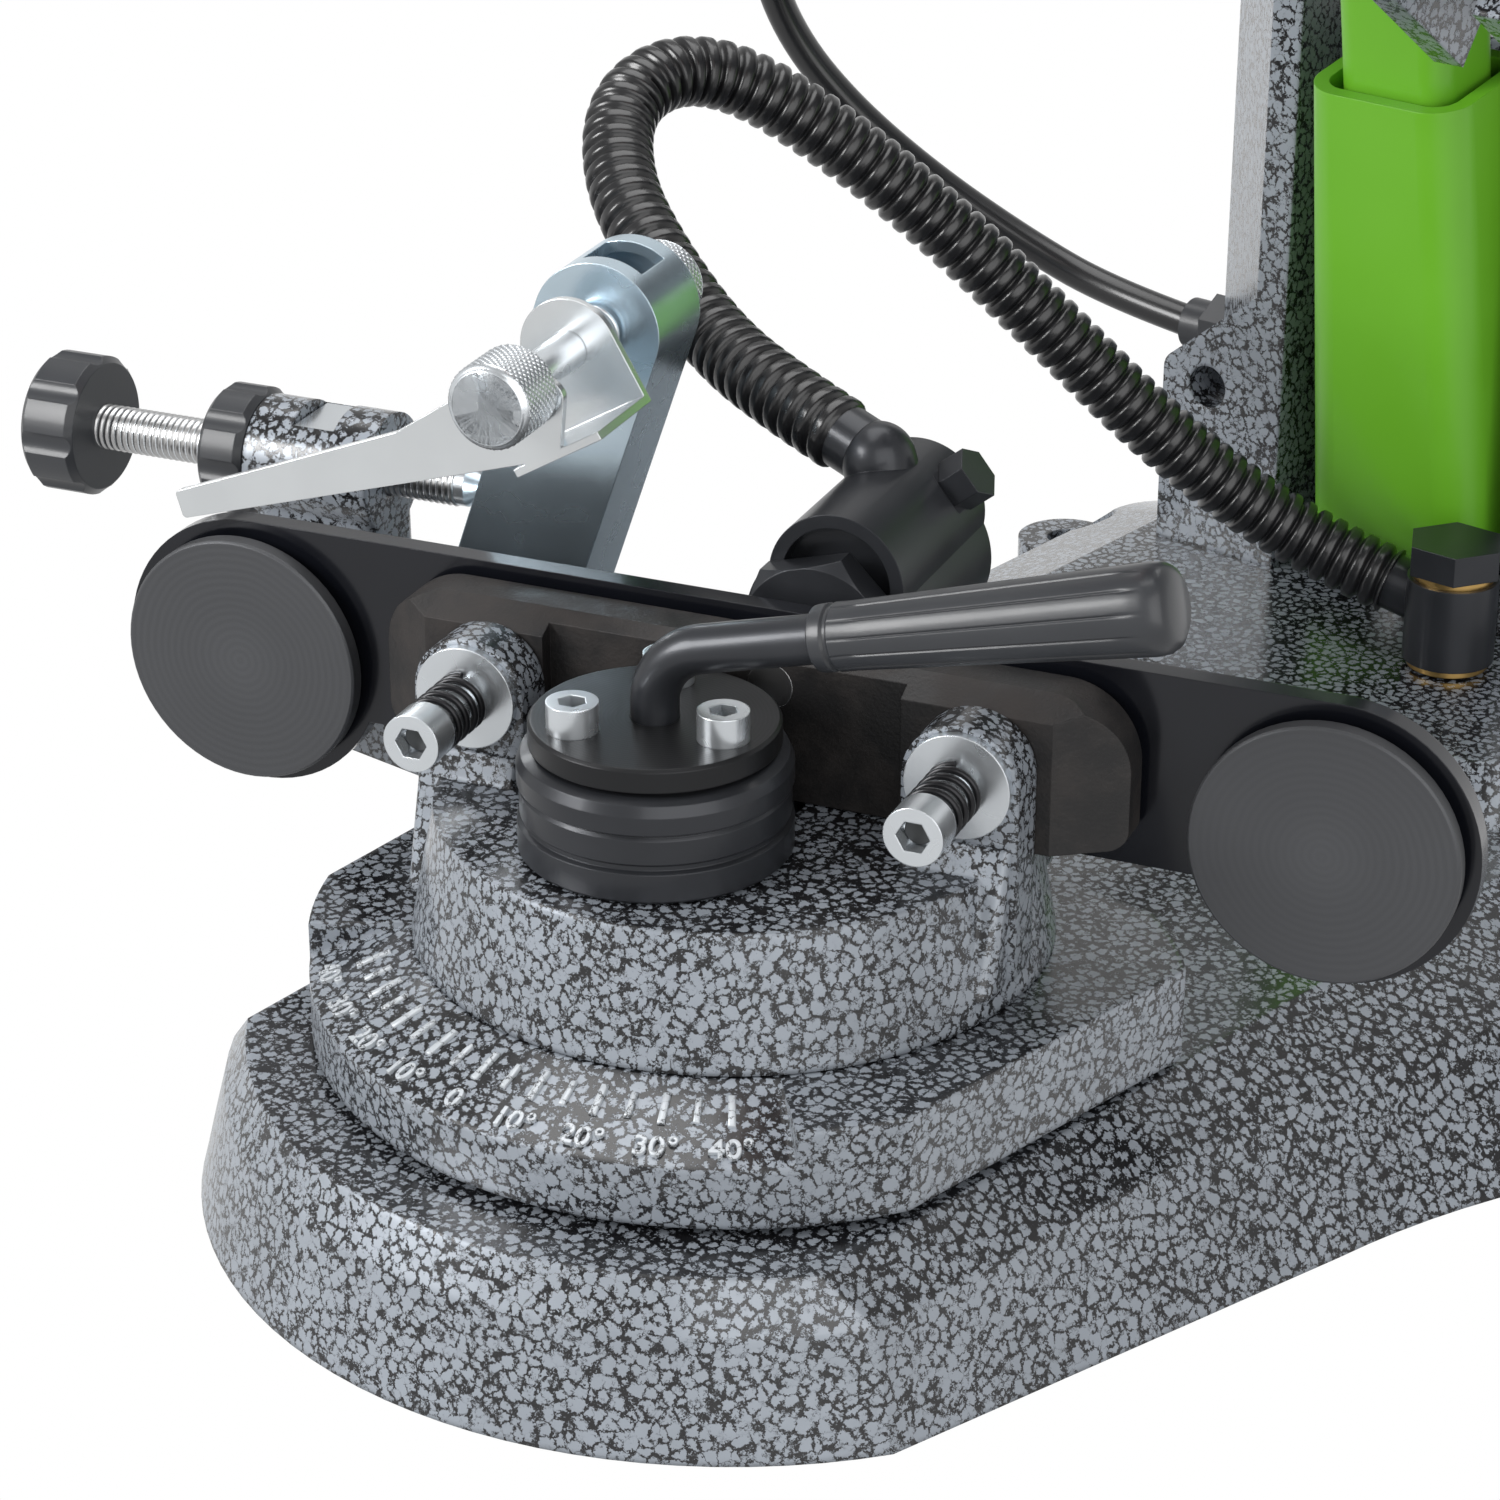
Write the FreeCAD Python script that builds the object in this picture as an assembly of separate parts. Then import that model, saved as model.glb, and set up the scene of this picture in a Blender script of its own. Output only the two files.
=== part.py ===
import FreeCAD
import Part
import math
import os

# Bench saw chain sharpener with a swivelling chain vise, hydraulic clamp and grinding head.
# Millimetres. The origin is where the vise's swivel axis meets the bench: +X to the operator's
# right, +Y towards the column at the back, +Z up. At rest the vise is swivelled and the head raised.

Vector = FreeCAD.Vector
X_AXIS = Vector(1, 0, 0)
Y_AXIS = Vector(0, 1, 0)
Z_AXIS = Vector(0, 0, 1)

# Fits
RUN = 0.05
GAP = 0.3

# Rest pose, degrees
SWIVEL_REST = 17.0
HEAD_RAISE = 35.0

# Base casting
SHOULDER_Z = 20.0
DECK_Z = 28.0
PEDESTAL_Z = 38.0
SEAT_Z = 30.0
SEAT_RADIUS = 62.0
BENCH_LOBE = 92.0
SHOULDER_LOBE = 87.0
DECK_LOBE = 83.0
BENCH_NECK = 76.0
SHOULDER_NECK = 71.0
DECK_NECK = 63.0
BENCH_WAIST = 98.0
SHOULDER_WAIST = 81.0
DECK_WAIST = 68.0
BENCH_FOOT = 122.0
SHOULDER_FOOT = 97.0
DECK_FOOT = 73.0
WAIST_Y = 40.0
FOOT_Y = 98.0
BASE_REAR_Y = 274.0
REAR_CORNER = 16.0
PEDESTAL_HALF = 61.0
PEDESTAL_FRONT_Y = 150.0
RELIEF_DEPTH = 3.0
RELIEF_RIM = 12.0
CENTRE_PAD = 34.0
BOLT_X = 104.0
BOLT_FRONT_Y = 118.0
BOLT_REAR_Y = 240.0
BOLT_HOLE_RADIUS = 4.5
BOLT_BOSS_RADIUS = 11.0
BOLT_BOSS_Z = 14.0

# Scale plate and swivel
PLATE_RADIUS = 71.7
PLATE_NECK = 63.7
PLATE_CORNER_X = 68.8
PLATE_CORNER_Y = 34.0
PLATE_REAR_Y = 47.0
PLATE_RIM_Z = 40.5
PLATE_TOP_Z = 46.9
SCALE_INNER_RADIUS = 54.8
SCALE_HALF_ANGLE = 48.0
STUD_RADIUS = 8.0
STUD_THREAD_RADIUS = 6.0
STUD_ROOT_Z = 12.0
SWIVEL_NUT_FLATS = 19.0
SWIVEL_NUT_HEIGHT = 8.0
SWIVEL_WASHER_RADIUS = 11.0
SWIVEL_WASHER_HEIGHT = 2.0
SWIVEL_POCKET_FLOOR_Z = 57.0
SWIVEL_POCKET_RADIUS = 12.5

# Vise casting
RING_RADIUS = 54.3
RING_TOP_RADIUS = 50.0
RING_TOP_Z = 70.0
POST_U = 43.6
POST_Z = 84.8
POST_RADIUS = 10.0
POST_FRONT_V = -10.4
POST_DEPTH = 8.4
BACK_WALL_DEPTH = 8.0
BACK_WALL_HALF = 48.0
BACK_WALL_Z = 90.0
OUTRIGGER_Z = 50.0
OUTRIGGER_THICK = 11.0
OUTRIGGER_FRONT_V = 20.0
OUTRIGGER_CORNER = 12.0

# Rail, guide discs and jaw
RAIL_FRONT_V = 13.2
RAIL_THICK = 4.0
RAIL_HALF = 98.3
RAIL_CENTRE_Z = 73.9
RAIL_END_RADIUS = 24.7
RAIL_LOW_Z = 64.0
DISC_RADIUS = 22.5
DISC_THICK = 3.0
CHAIN_SLOT = 2.0
DISC_BOSS_RADIUS = 9.0
DISC_PIN_RADIUS = 4.0
DISC_NUT_FLATS = 13.0
DISC_NUT_HEIGHT = 5.0
RAIL_SCREW_U = 32.0
RAIL_SCREW_Z = 80.0
RAIL_SCREW_RADIUS = 3.0
RAIL_SCREW_HEAD_RADIUS = 5.6
RAIL_SCREW_LENGTH = 11.0
JAW_HALF = 67.0
JAW_TOP_Z = 96.5
JAW_FRONT_V = -1.7
JAW_RECESS_LEFT = -34.0
JAW_RECESS_RIGHT = 30.0
JAW_WING_U = 56.0
JAW_WING_V = 5.5
JAW_CORNER = 13.0
JAW_TRAVEL = 1.5
JAW_SCREW_RADIUS = 3.0
JAW_SCREW_HEAD_RADIUS = 5.0
JAW_SCREW_HEAD_HEIGHT = 6.0
JAW_SCREW_GRIP = 9.0
SOCKET_RATIO = 0.5
SPRING_WASHER_RADIUS = 9.0
SPRING_WASHER_THICK = 1.6
SPRING_LENGTH = 13.3
SPRING_MEAN_RADIUS = 4.4
SPRING_WIRE_RADIUS = 0.6
SPRING_TURNS = 4.5

# Cam lever
DRUM_U = -4.4
DRUM_V = -21.6
DRUM_RADIUS = 22.5
DRUM_HEIGHT = 17.6
DRUM_RIM = 2.5
DRUM_GROOVE_DEPTH = 0.9
DRUM_GROOVE_WIDTH = 1.2
DRUM_LOWER_BAND = 5.2
NECK_RADIUS = 18.5
NECK_HEIGHT = 0.9
CAM_PLATE_RADIUS = 20.5
CAM_PLATE_THICK = 4.0
CAM_THROW = 1.06
CAM_PIN_RADIUS = 6.0
CAM_PIN_SEAT_Z = 54.0
CAM_SCREW_CIRCLE = 14.0
CAM_SCREW_RADIUS = 2.5
CAM_SCREW_HEAD_RADIUS = 4.25
CAM_SCREW_HEAD_HEIGHT = 5.0
CAM_SCREW_GRIP = 10.0
CAM_SCREW_ANGLE = 225.0
LEVER_RADIUS = 4.0
LEVER_KNEE_Z = 103.8
LEVER_KNEE_RADIUS = 11.0
LEVER_RISE = 14.6
LEVER_REACH = 40.0
GRIP_START = 29.0
GRIP_LENGTH = 60.0
GRIP_NECK_RADIUS = 5.4
GRIP_END_RADIUS = 7.2
GRIP_ROUND = 3.0

# Chain stop
STOP_PIVOT_U = -62.0
STOP_PIVOT_Z = 75.0
STOP_SHAFT_U = -42.0
STOP_SHAFT_Z = 133.5
STOP_FRONT_V = 38.0
STOP_DEPTH = 17.4
STOP_HALF = 11.9
STOP_SHEET = 2.0
STOP_FLAP = 16.0
STOP_PIN_RADIUS = 4.0
STOP_LUG_RADIUS = 9.0
STOP_LUG_THICK = 7.0
SHAFT_RADIUS = 3.4
KNOB_RADIUS = 7.4
KNOB_LENGTH = 12.0
KNOB_FACE_V = -4.0
KNOB_BEVEL = 1.0
PAWL_SHEET = 1.5
PAWL_EAR_V = 27.0
PAWL_EAR_RADIUS = 9.0
BLADE_KNEE_U = -63.0
BLADE_KNEE_Z = 113.0
BLADE_TIP_U = -108.0
BLADE_TIP_Z = 99.4
BLADE_WIDTH = 9.0
BLADE_TIP_WIDTH = 5.0
PAWL_FOLD_U = -35.0
PAWL_FOLD_Z = 121.5
PAWL_SPRING_MEAN_RADIUS = 4.6
PAWL_SPRING_WIRE_RADIUS = 0.5
PAWL_SPRING_TURNS = 4.0
THUMB_NUT_RADIUS = 7.6
THUMB_NUT_LENGTH = 7.5
STOP_WASHER_RADIUS = 9.0
STOP_WASHER_THICK = 4.0

# Adjuster
ADJUSTER_V = 46.5
ADJUSTER_Z = 97.5
ADJUSTER_RADIUS = 4.0
ADJUSTER_TIP_PLAY = 0.7
ADJUSTER_TIP_RADIUS = 1.5
ADJUSTER_TAIL_U = -158.0
ADJUSTER_KNOB_RADIUS = 13.0
ADJUSTER_KNOB_LENGTH = 11.0
KNOB_FLUTES = 8
KNOB_FLUTE_RADIUS = 3.2
ADJUSTER_BOSS_RADIUS = 11.0
ADJUSTER_BOSS_RIGHT = -87.0
ADJUSTER_BOSS_LENGTH = 25.0
ADJUSTER_SLOT_LENGTH = 8.6
CAPTIVE_NUT_FLATS = 13.0
CAPTIVE_NUT_LENGTH = 8.0
LOCK_KNOB_RADIUS = 12.0
LOCK_KNOB_LENGTH = 9.0

# Hydraulic clamp
SLAVE_U = 6.0
SLAVE_Z = 90.5
SLAVE_RADIUS = 15.0
SLAVE_FRONT_V = 26.2
SLAVE_LENGTH = 39.8
SLAVE_NECK = 5.0
SLAVE_ROD_RADIUS = 4.0
SLAVE_BORE_RADIUS = 10.0
SLAVE_WALL = 6.0
PISTON_LENGTH = 10.0
GLAND_FLATS = 26.4
GLAND_LENGTH = 6.0
GLAND_TURN = 45.0
CRADLE_DEPTH = 5.0
CRADLE_WALL = 4.5
EAR_WIDTH = 6.5
EAR_FRONT_Z = 96.5
EAR_TOP_Z = 103.5
GALLERY_U = 7.4
GALLERY_Z = 99.2
GALLERY_RADIUS = 12.2
GALLERY_MOUTH_RADIUS = 9.8
GALLERY_MOUTH_DEPTH = 3.5
BLEED_RADIUS = 4.5
BLEED_LENGTH = 9.0
BLEED_TILT = 38.0
HOSE_RADIUS = 6.7
HOSE_VALLEY_RADIUS = 5.5
HOSE_BORE_RADIUS = 4.4
HOSE_PITCH = 4.2
HOSE_PLAY = 0.8
FERRULE_RADIUS = 5.8
FERRULE_LENGTH = 8.0
ELBOW_RADIUS = 6.6
BANJO_X = 27.0
BANJO_Y = 186.0
BANJO_RADIUS = 9.0
BANJO_LOW_Z = 40.0
BANJO_HEIGHT = 17.0
BANJO_WASHER_THICK = 1.5
BANJO_BOLT_RADIUS = 5.0
BANJO_BOLT_FLATS = 17.0
BANJO_HEAD_HEIGHT = 6.0
BANJO_STUB_RADIUS = 5.6

# Column
COLUMN_FRONT_Y = 205.0
COLUMN_REAR_Y = 264.0
COLUMN_HALF = 58.0
COLUMN_FACE_HALF = 34.0
COLUMN_BEVEL_Y = 230.0
POCKET_HALF = 27.0
POCKET_REAR_Y = 246.0
EAR_HALF = 56.0
EAR_TOP_Z = 88.0
EAR_DEPTH = 12.0
EAR_HOLE_X = 45.0
EAR_HOLE_Z = 74.0
EAR_HOLE_RADIUS = 4.5
COLUMN_BOLT_X = 44.0
COLUMN_BOLT_FRONT_Y = 232.0
COLUMN_BOLT_REAR_Y = 255.0
COLUMN_BOLT_RADIUS = 4.0
COLUMN_BOLT_HEAD_RADIUS = 6.5
COLUMN_BOLT_HEAD_HEIGHT = 8.0
COLUMN_BOLT_GRIP = 16.0
COLUMN_BOLT_RECESS = 12.0
HINGE_Y = 232.0
HINGE_Z = 178.0
HINGE_PIN_RADIUS = 7.0
HINGE_CHEEK_RADIUS = 25.0
HINGE_PIN_PROUD = 3.0

# Strut between column and head
STRUT_X = 2.0
STRUT_Y = 220.5
STRUT_LEAN = 10.0
OUTER_COVER_LOW = 13.0
OUTER_COVER_HIGH = 114.0
OUTER_LOW_WIDTH = 40.0
OUTER_TOP_WIDTH = 34.0
OUTER_LOW_DEPTH = 34.0
OUTER_TOP_DEPTH = 31.0
OUTER_WALL = 3.0
OUTER_CORNER = 8.0
COVER_BOSS_RADIUS = 5.0
COVER_BOSS_LOW = 40.0
COVER_BOSS_HIGH = 85.0
INNER_COVER_LOW = 68.0
INNER_COVER_HIGH = 133.0
INNER_WIDTH = 24.0
INNER_DEPTH = 21.5
INNER_WALL = 2.0
INNER_CORNER = 5.0
PUSH_ROD_RADIUS = 4.5
PUSH_ROD_LOW = 18.5
MASTER_RADIUS = 12.0
MASTER_LOW = -12.0
MASTER_HIGH = 20.0
MASTER_FLOOR = 4.0
RETURN_SPRING_MEAN_RADIUS = 6.8
RETURN_SPRING_WIRE_RADIUS = 0.9
RETURN_SPRING_TURNS = 12.0

# Grinding head, drawn lowered with its arm level
WHEEL_Y = 14.0
WHEEL_Z = 172.0
WHEEL_RADIUS = 72.5
WHEEL_THICK = 4.8
WHEEL_BORE_RADIUS = 11.1
FLANGE_RADIUS = 26.0
FLANGE_THICK = 6.0
SPINDLE_RADIUS = 6.0
SPINDLE_NUT_FLATS = 19.0
SPINDLE_NUT_LENGTH = 8.0
ARM_HALF_WIDTH = 22.0
ARM_HALF_HEIGHT = 18.0
BARREL_RADIUS = 22.0
BEAM_FRONT_Y = 108.0
ARM_PLATE_X = 18.0
ARM_PLATE_THICK = 12.0
MOTOR_RADIUS = 38.0
MOTOR_LENGTH = 88.0
MOTOR_FINS = 9
MOTOR_FIN_GAP = 4.0
MOTOR_FIN_DEPTH = 2.0
MOTOR_CAP_LENGTH = 18.0
MOTOR_CAP_ROUND = 8.0
GUARD_RADIUS = 80.0
GUARD_HALF_WIDTH = 15.0
GUARD_WALL = 2.0
GUARD_MOUTH = 65.0
HANDLE_GRIP_RADIUS = 13.0
HANDLE_GRIP_LENGTH = 95.0
HANDLE_STEM = 46.0
HANDLE_TILT = 35.0
SWITCH_LEFT_X = -58.0
SWITCH_FRONT_Y = 150.0
SWITCH_LENGTH = 44.0
SWITCH_HEIGHT = 38.0
SWITCH_ROUND = 4.0
ROCKER_LENGTH = 20.0
ROCKER_HEIGHT = 13.0
ROCKER_DEPTH = 7.0
ROCKER_PROUD = 2.5
TRUNNION_RADIUS = 1.5
TRUNNION_REACH = 2.5
LUG_LEFT_X = 31.0
LUG_WIDTH = 27.0
LUG_CHEEK = 6.0
LUG_FRONT_Y = 147.0
LUG_LENGTH = 30.0
LUG_DROP = 52.0
NOSE_RADIUS = 6.0
GLAND_RADIUS = 8.0
GLAND_NUT_LENGTH = 8.0
GLAND_NOSE_RADIUS = 5.5
GLAND_NOSE_LENGTH = 6.0
COLUMN_GLAND_Y = 239.0
COLUMN_GLAND_Z = 73.0

# Cable
CABLE_END_PLAY = 0.5
CABLE_RADIUS = 3.5

# Places worked out from the driving dimensions
RAIL_BACK_V = RAIL_FRONT_V + RAIL_THICK
DISC_FRONT_V = RAIL_FRONT_V - CHAIN_SLOT - DISC_THICK
JAW_BACK_V = RAIL_FRONT_V - CHAIN_SLOT
VISE_FLOOR_Z = PLATE_TOP_Z + GAP
JAW_LOW_Z = RING_TOP_Z + GAP
DRUM_LOW_Z = RING_TOP_Z + GAP
DRUM_TOP_Z = DRUM_LOW_Z + DRUM_HEIGHT
CAM_PLATE_Z = DRUM_TOP_Z + NECK_HEIGHT
CAM_TOP_Z = CAM_PLATE_Z + CAM_PLATE_THICK
JAW_RECESS_V = DRUM_V + DRUM_RADIUS + GAP
CAM_PIN_U = DRUM_U + CAM_THROW * math.sin(math.radians(45))
CAM_PIN_V = DRUM_V + CAM_THROW * math.sin(math.radians(45))
POST_BACK_V = POST_FRONT_V + POST_DEPTH
WASHER_FRONT_V = POST_FRONT_V - SPRING_WASHER_THICK
JAW_HEAD_V = WASHER_FRONT_V - SPRING_LENGTH
STOP_LEAN = math.degrees(math.atan2(STOP_SHAFT_U - STOP_PIVOT_U, STOP_SHAFT_Z - STOP_PIVOT_Z))
STOP_LENGTH = math.hypot(STOP_SHAFT_U - STOP_PIVOT_U, STOP_SHAFT_Z - STOP_PIVOT_Z)
STOP_BACK_V = STOP_FRONT_V + STOP_DEPTH
KNOB_BACK_V = KNOB_FACE_V + KNOB_LENGTH
PAWL_FRONT_V = KNOB_BACK_V + GAP
ADJUSTER_BOSS_LEFT = ADJUSTER_BOSS_RIGHT - ADJUSTER_BOSS_LENGTH
SLAVE_BACK_V = SLAVE_FRONT_V + SLAVE_LENGTH
GLAND_FRONT_V = SLAVE_FRONT_V - GLAND_LENGTH
OUTRIGGER_TOP_Z = OUTRIGGER_Z + OUTRIGGER_THICK
BANJO_TOP_Z = BANJO_LOW_Z + BANJO_HEIGHT
BANJO_STUB_Z = BANJO_LOW_Z + 0.72 * BANJO_HEIGHT
ARM_PLATE_RIGHT = ARM_PLATE_X + ARM_PLATE_THICK
MOTOR_END_X = ARM_PLATE_RIGHT + MOTOR_LENGTH
HINGE_POINT = Vector(0, HINGE_Y, HINGE_Z)


# Small helpers

def plan(z):
    """Lift for an outline drawn in plan at height z."""
    return lambda a, b: Vector(a, b, z)


def front(v):
    """Lift for an outline drawn in front view at depth v."""
    return lambda a, b: Vector(a, v, b)


def side(x):
    """Lift for an outline drawn in side view at x."""
    return lambda a, b: Vector(x, a, b)


class Trace:
    """Pen that follows lines and arcs and closes them to a wire."""

    def __init__(self, lift, start):
        self.lift = lift
        self.first = start
        self.here = start
        self.edges = []

    def line(self, end):
        self.edges.append(Part.LineSegment(self.lift(*self.here), self.lift(*end)).toShape())
        self.here = end
        return self

    def arc(self, via, end):
        self.edges.append(Part.Arc(self.lift(*self.here), self.lift(*via), self.lift(*end)).toShape())
        self.here = end
        return self

    def close(self):
        if self.here != self.first:
            self.line(self.first)
        return Part.Wire(self.edges)


def rounded(corners, lift):
    """Closed wire through corners (a, b, radius), each rounded by a tangent arc."""
    count = len(corners)
    stops = []
    for index in range(count):
        here = Vector(corners[index][0], corners[index][1], 0)
        radius = corners[index][2]
        before = Vector(corners[index - 1][0], corners[index - 1][1], 0) - here
        after = Vector(corners[(index + 1) % count][0], corners[(index + 1) % count][1], 0) - here
        before.normalize()
        after.normalize()
        if radius == 0:
            stops.append((here, None, here))
            continue
        half = before.getAngle(after) / 2
        bisector = before + after
        bisector.normalize()
        reach = radius / math.tan(half)
        middle = here + bisector * (radius / math.sin(half) - radius)
        stops.append((here + before * reach, middle, here + after * reach))
    trace = Trace(lift, (stops[0][2].x, stops[0][2].y))
    for index in range(1, count + 1):
        enter, middle, leave = stops[index % count]
        trace.line((enter.x, enter.y))
        if middle is not None:
            trace.arc((middle.x, middle.y), (leave.x, leave.y))
    return Part.Wire(trace.edges)


def rectangle(a0, a1, b0, b1, radius, lift):
    """Rounded rectangle from (a0, b0) to (a1, b1)."""
    return rounded([(a0, b0, radius), (a1, b0, radius), (a1, b1, radius), (a0, b1, radius)], lift)


def prism(wire, push):
    """Solid swept straight from the flat wire."""
    return Part.Face(wire).extrude(push)


def rod(radius, start, end):
    """Cylinder from start to end."""
    return Part.makeCylinder(radius, (end - start).Length, start, end - start)


def ring(outer, inner, start, end):
    """Tube from start to end."""
    return rod(outer, start, end).cut(rod(inner, start, end))


def block(low, high):
    """Box between two corners."""
    size = high - low
    return Part.makeBox(size.x, size.y, size.z, low)


def hexagon(flats, start, end, turn=0.0):
    """Hexagonal bar across flats from start to end."""
    axis = end - start
    radius = flats / math.sqrt(3)
    points = []
    for index in range(7):
        angle = math.radians(60 * index + turn)
        points.append(Vector(radius * math.cos(angle), radius * math.sin(angle), 0))
    bar = Part.Face(Part.makePolygon(points)).extrude(Vector(0, 0, axis.Length))
    bar.Placement = FreeCAD.Placement(start, FreeCAD.Rotation(Z_AXIS, axis))
    return bar


def turned(profile, base, axis):
    """Solid of revolution: profile is (radius, height) points, placed with its axis at base."""
    points = [Vector(radius, 0, height) for radius, height in profile]
    points.append(points[0])
    solid = Part.Face(Part.makePolygon(points)).revolve(Vector(0, 0, 0), Z_AXIS, 360)
    solid.Placement = FreeCAD.Placement(base, FreeCAD.Rotation(Z_AXIS, axis))
    return solid


def join(shapes):
    """One solid from touching or overlapping shapes."""
    return shapes[0].fuse(shapes[1:]).removeSplitter()


def less(shape, tools):
    """Shape with the tools cut away."""
    return shape.cut(tools)


def cap_screw(head_radius, head_height, radius, length, top, axis):
    """Socket head screw with its head's face at top, pointing along axis."""
    axis = Vector(axis)
    axis.normalize()
    under = top + axis * head_height
    screw = join([rod(head_radius, top, under), rod(radius, under - axis, under + axis * length)])
    socket = hexagon(2 * head_radius * SOCKET_RATIO, top, top + axis * head_height * 0.55)
    return screw.cut(socket)


def swivel(shape):
    """Turn a piece drawn in the vise's own directions to its rest place."""
    shape.rotate(Vector(0, 0, 0), Z_AXIS, SWIVEL_REST)
    return shape


def raise_head(shape):
    """Turn a piece drawn with the arm level up to the rest place."""
    shape.rotate(HINGE_POINT, X_AXIS, -HEAD_RAISE)
    return shape


def strut(shape):
    """Lean a piece drawn upright on the strut's foot."""
    shape.rotate(Vector(0, 0, 0), X_AXIS, STRUT_LEAN)
    shape.translate(Vector(STRUT_X, STRUT_Y, PEDESTAL_Z))
    return shape


def biarc(start, start_way, end, end_way):
    """Two arcs that leave start and reach end in the given unit directions."""
    span = end - start
    both = start_way + end_way
    spread = 2 * (1 - start_way.dot(end_way))
    along = span.dot(both)
    reach = (-along + math.sqrt(along * along + spread * span.dot(span))) / spread
    first_corner = start + start_way * reach
    second_corner = end - end_way * reach
    meet = (first_corner + second_corner) * 0.5
    return [corner_arc(start, first_corner, meet), corner_arc(meet, second_corner, end)]


def corner_arc(start, corner, end):
    """Arc from start to end whose end tangents cross at the corner."""
    chord_middle = (start + end) * 0.5
    half_chord = (end - start).Length / 2
    height = (corner - chord_middle).Length
    half_angle = math.atan2(height, half_chord) / 2
    outwards = corner - chord_middle
    outwards.normalize()
    middle = chord_middle + outwards * (half_chord * math.tan(half_angle))
    return Part.Arc(start, middle, end).toShape()


def coil(mean_radius, wire_radius, length, turns, name):
    """Helical spring along +Z from z = 0, its wire kept inside the length."""
    rise = length - 2 * wire_radius
    quarters = int(round(turns * 4))
    slope = rise / (turns * 2 * math.pi)
    points = []
    ways = []
    for index in range(quarters + 1):
        angle = index * math.pi / 2
        points.append(Vector(mean_radius * math.cos(angle), mean_radius * math.sin(angle),
                             wire_radius + slope * angle))
        way = Vector(-mean_radius * math.sin(angle), mean_radius * math.cos(angle), slope)
        way.normalize()
        ways.append(way)
    edges = []
    for index in range(quarters):
        edges.extend(biarc(points[index], ways[index], points[index + 1], ways[index + 1]))
    section = Part.Wire(Part.makeCircle(wire_radius, points[0], ways[0]))
    solid = Part.Wire(edges).makePipeShell([section], True, False)
    print(name, "least gap to itself", round(least_gap(edges, wire_radius, 2 * math.pi * mean_radius), 2))
    return solid


def least_gap(edges, wire_radius, turn):
    """Least gap of a coiled wire to itself, measured on points over half a turn apart along it."""
    stations = [point for edge in edges for point in edge.discretize(7)[:-1]]
    spacing = sum(edge.Length for edge in edges) / len(stations)
    apart = int(0.5 * turn / spacing)
    return min(stations[first].distanceToPoint(other) - 2 * wire_radius
               for first in range(len(stations)) for other in stations[first + apart:])


def eased_path(points, name):
    """Edges of straight runs joined by tangent arcs as large as the runs allow."""
    edges = []
    radii = []
    here = points[0]
    for index in range(1, len(points) - 1):
        before = points[index] - points[index - 1]
        after = points[index + 1] - points[index]
        half = before.getAngle(after) / 2
        reach = 0.45 * min(before.Length, after.Length)
        radii.append(round(reach / math.tan(half), 1))
        before.normalize()
        after.normalize()
        enter = points[index] - before * reach
        leave = points[index] + after * reach
        edges.append(Part.LineSegment(here, enter).toShape())
        edges.append(corner_arc(enter, points[index], leave))
        here = leave
    edges.append(Part.LineSegment(here, points[-1]).toShape())
    print(name, "bend radii", radii)
    return edges


def path_stations(edges, spacing):
    """Evenly spaced places and directions along the edges of a path."""
    total = sum(edge.Length for edge in edges)
    count = int(round(total / spacing))
    stations = []
    index = 0
    passed = 0.0
    for step in range(count + 1):
        reach = total * step / count
        while index < len(edges) - 1 and reach > passed + edges[index].Length:
            passed += edges[index].Length
            index += 1
        edge = edges[index]
        share = min(max((reach - passed) / edge.Length, 0.0), 1.0)
        low, high = edge.ParameterRange
        spot = low + share * (high - low)
        stations.append((edge.valueAt(spot), edge.tangentAt(spot)))
    return stations, total


def hoop(radius, centre, way):
    """Circle across a path, its seam held towards +X."""
    across = X_AXIS - way * X_AXIS.dot(way)
    across.normalize()
    circle = Part.Wire(Part.makeCircle(radius))
    circle.Placement = FreeCAD.Placement(centre, FreeCAD.Rotation(across, way.cross(across), way, "ZXY"))
    return circle


def ribbed_tube(points, name):
    """Corrugated hose with its bore: a ruled skin outside and inside, closed by end rings."""
    edges = eased_path(points, name)
    stations, total = path_stations(edges, HOSE_PITCH / 4)
    profile = [HOSE_VALLEY_RADIUS, HOSE_RADIUS, HOSE_RADIUS, HOSE_VALLEY_RADIUS]
    outer = []
    inner = []
    for index, (centre, way) in enumerate(stations):
        outer.append(hoop(profile[index % 4], centre, way))
        if index % 8 == 0 or index == len(stations) - 1:
            inner.append(hoop(HOSE_BORE_RADIUS, centre, way))
    skin = Part.makeLoft(outer, False, True)
    bore = Part.makeLoft(inner, False, True)
    ends = [Part.Face(outer[place]).cut(Part.Face(inner[place])).Faces[0] for place in (0, -1)]
    shell = Part.makeShell(skin.Faces + bore.Faces + ends)
    shell.sewShape()
    solid = Part.makeSolid(shell)
    if solid.Volume < 0:
        solid.reverse()
    print(name, "length", round(total, 1), "ribs", len(stations) // 4, "volume", round(solid.Volume))
    return solid


def plain_tube(points, radius, name):
    """Round cable along an eased path."""
    edges = eased_path(points, name)
    way = points[1] - points[0]
    section = Part.Wire(Part.makeCircle(radius, points[0], way))
    solid = Part.Wire(edges).makePipeShell([section], True, False)
    length = sum(edge.Length for edge in edges)
    print(name, "length", round(length, 1), "volume share",
          round(solid.Volume / (math.pi * radius * radius * length), 4))
    return solid


# Base, scale plate and swivel

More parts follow.
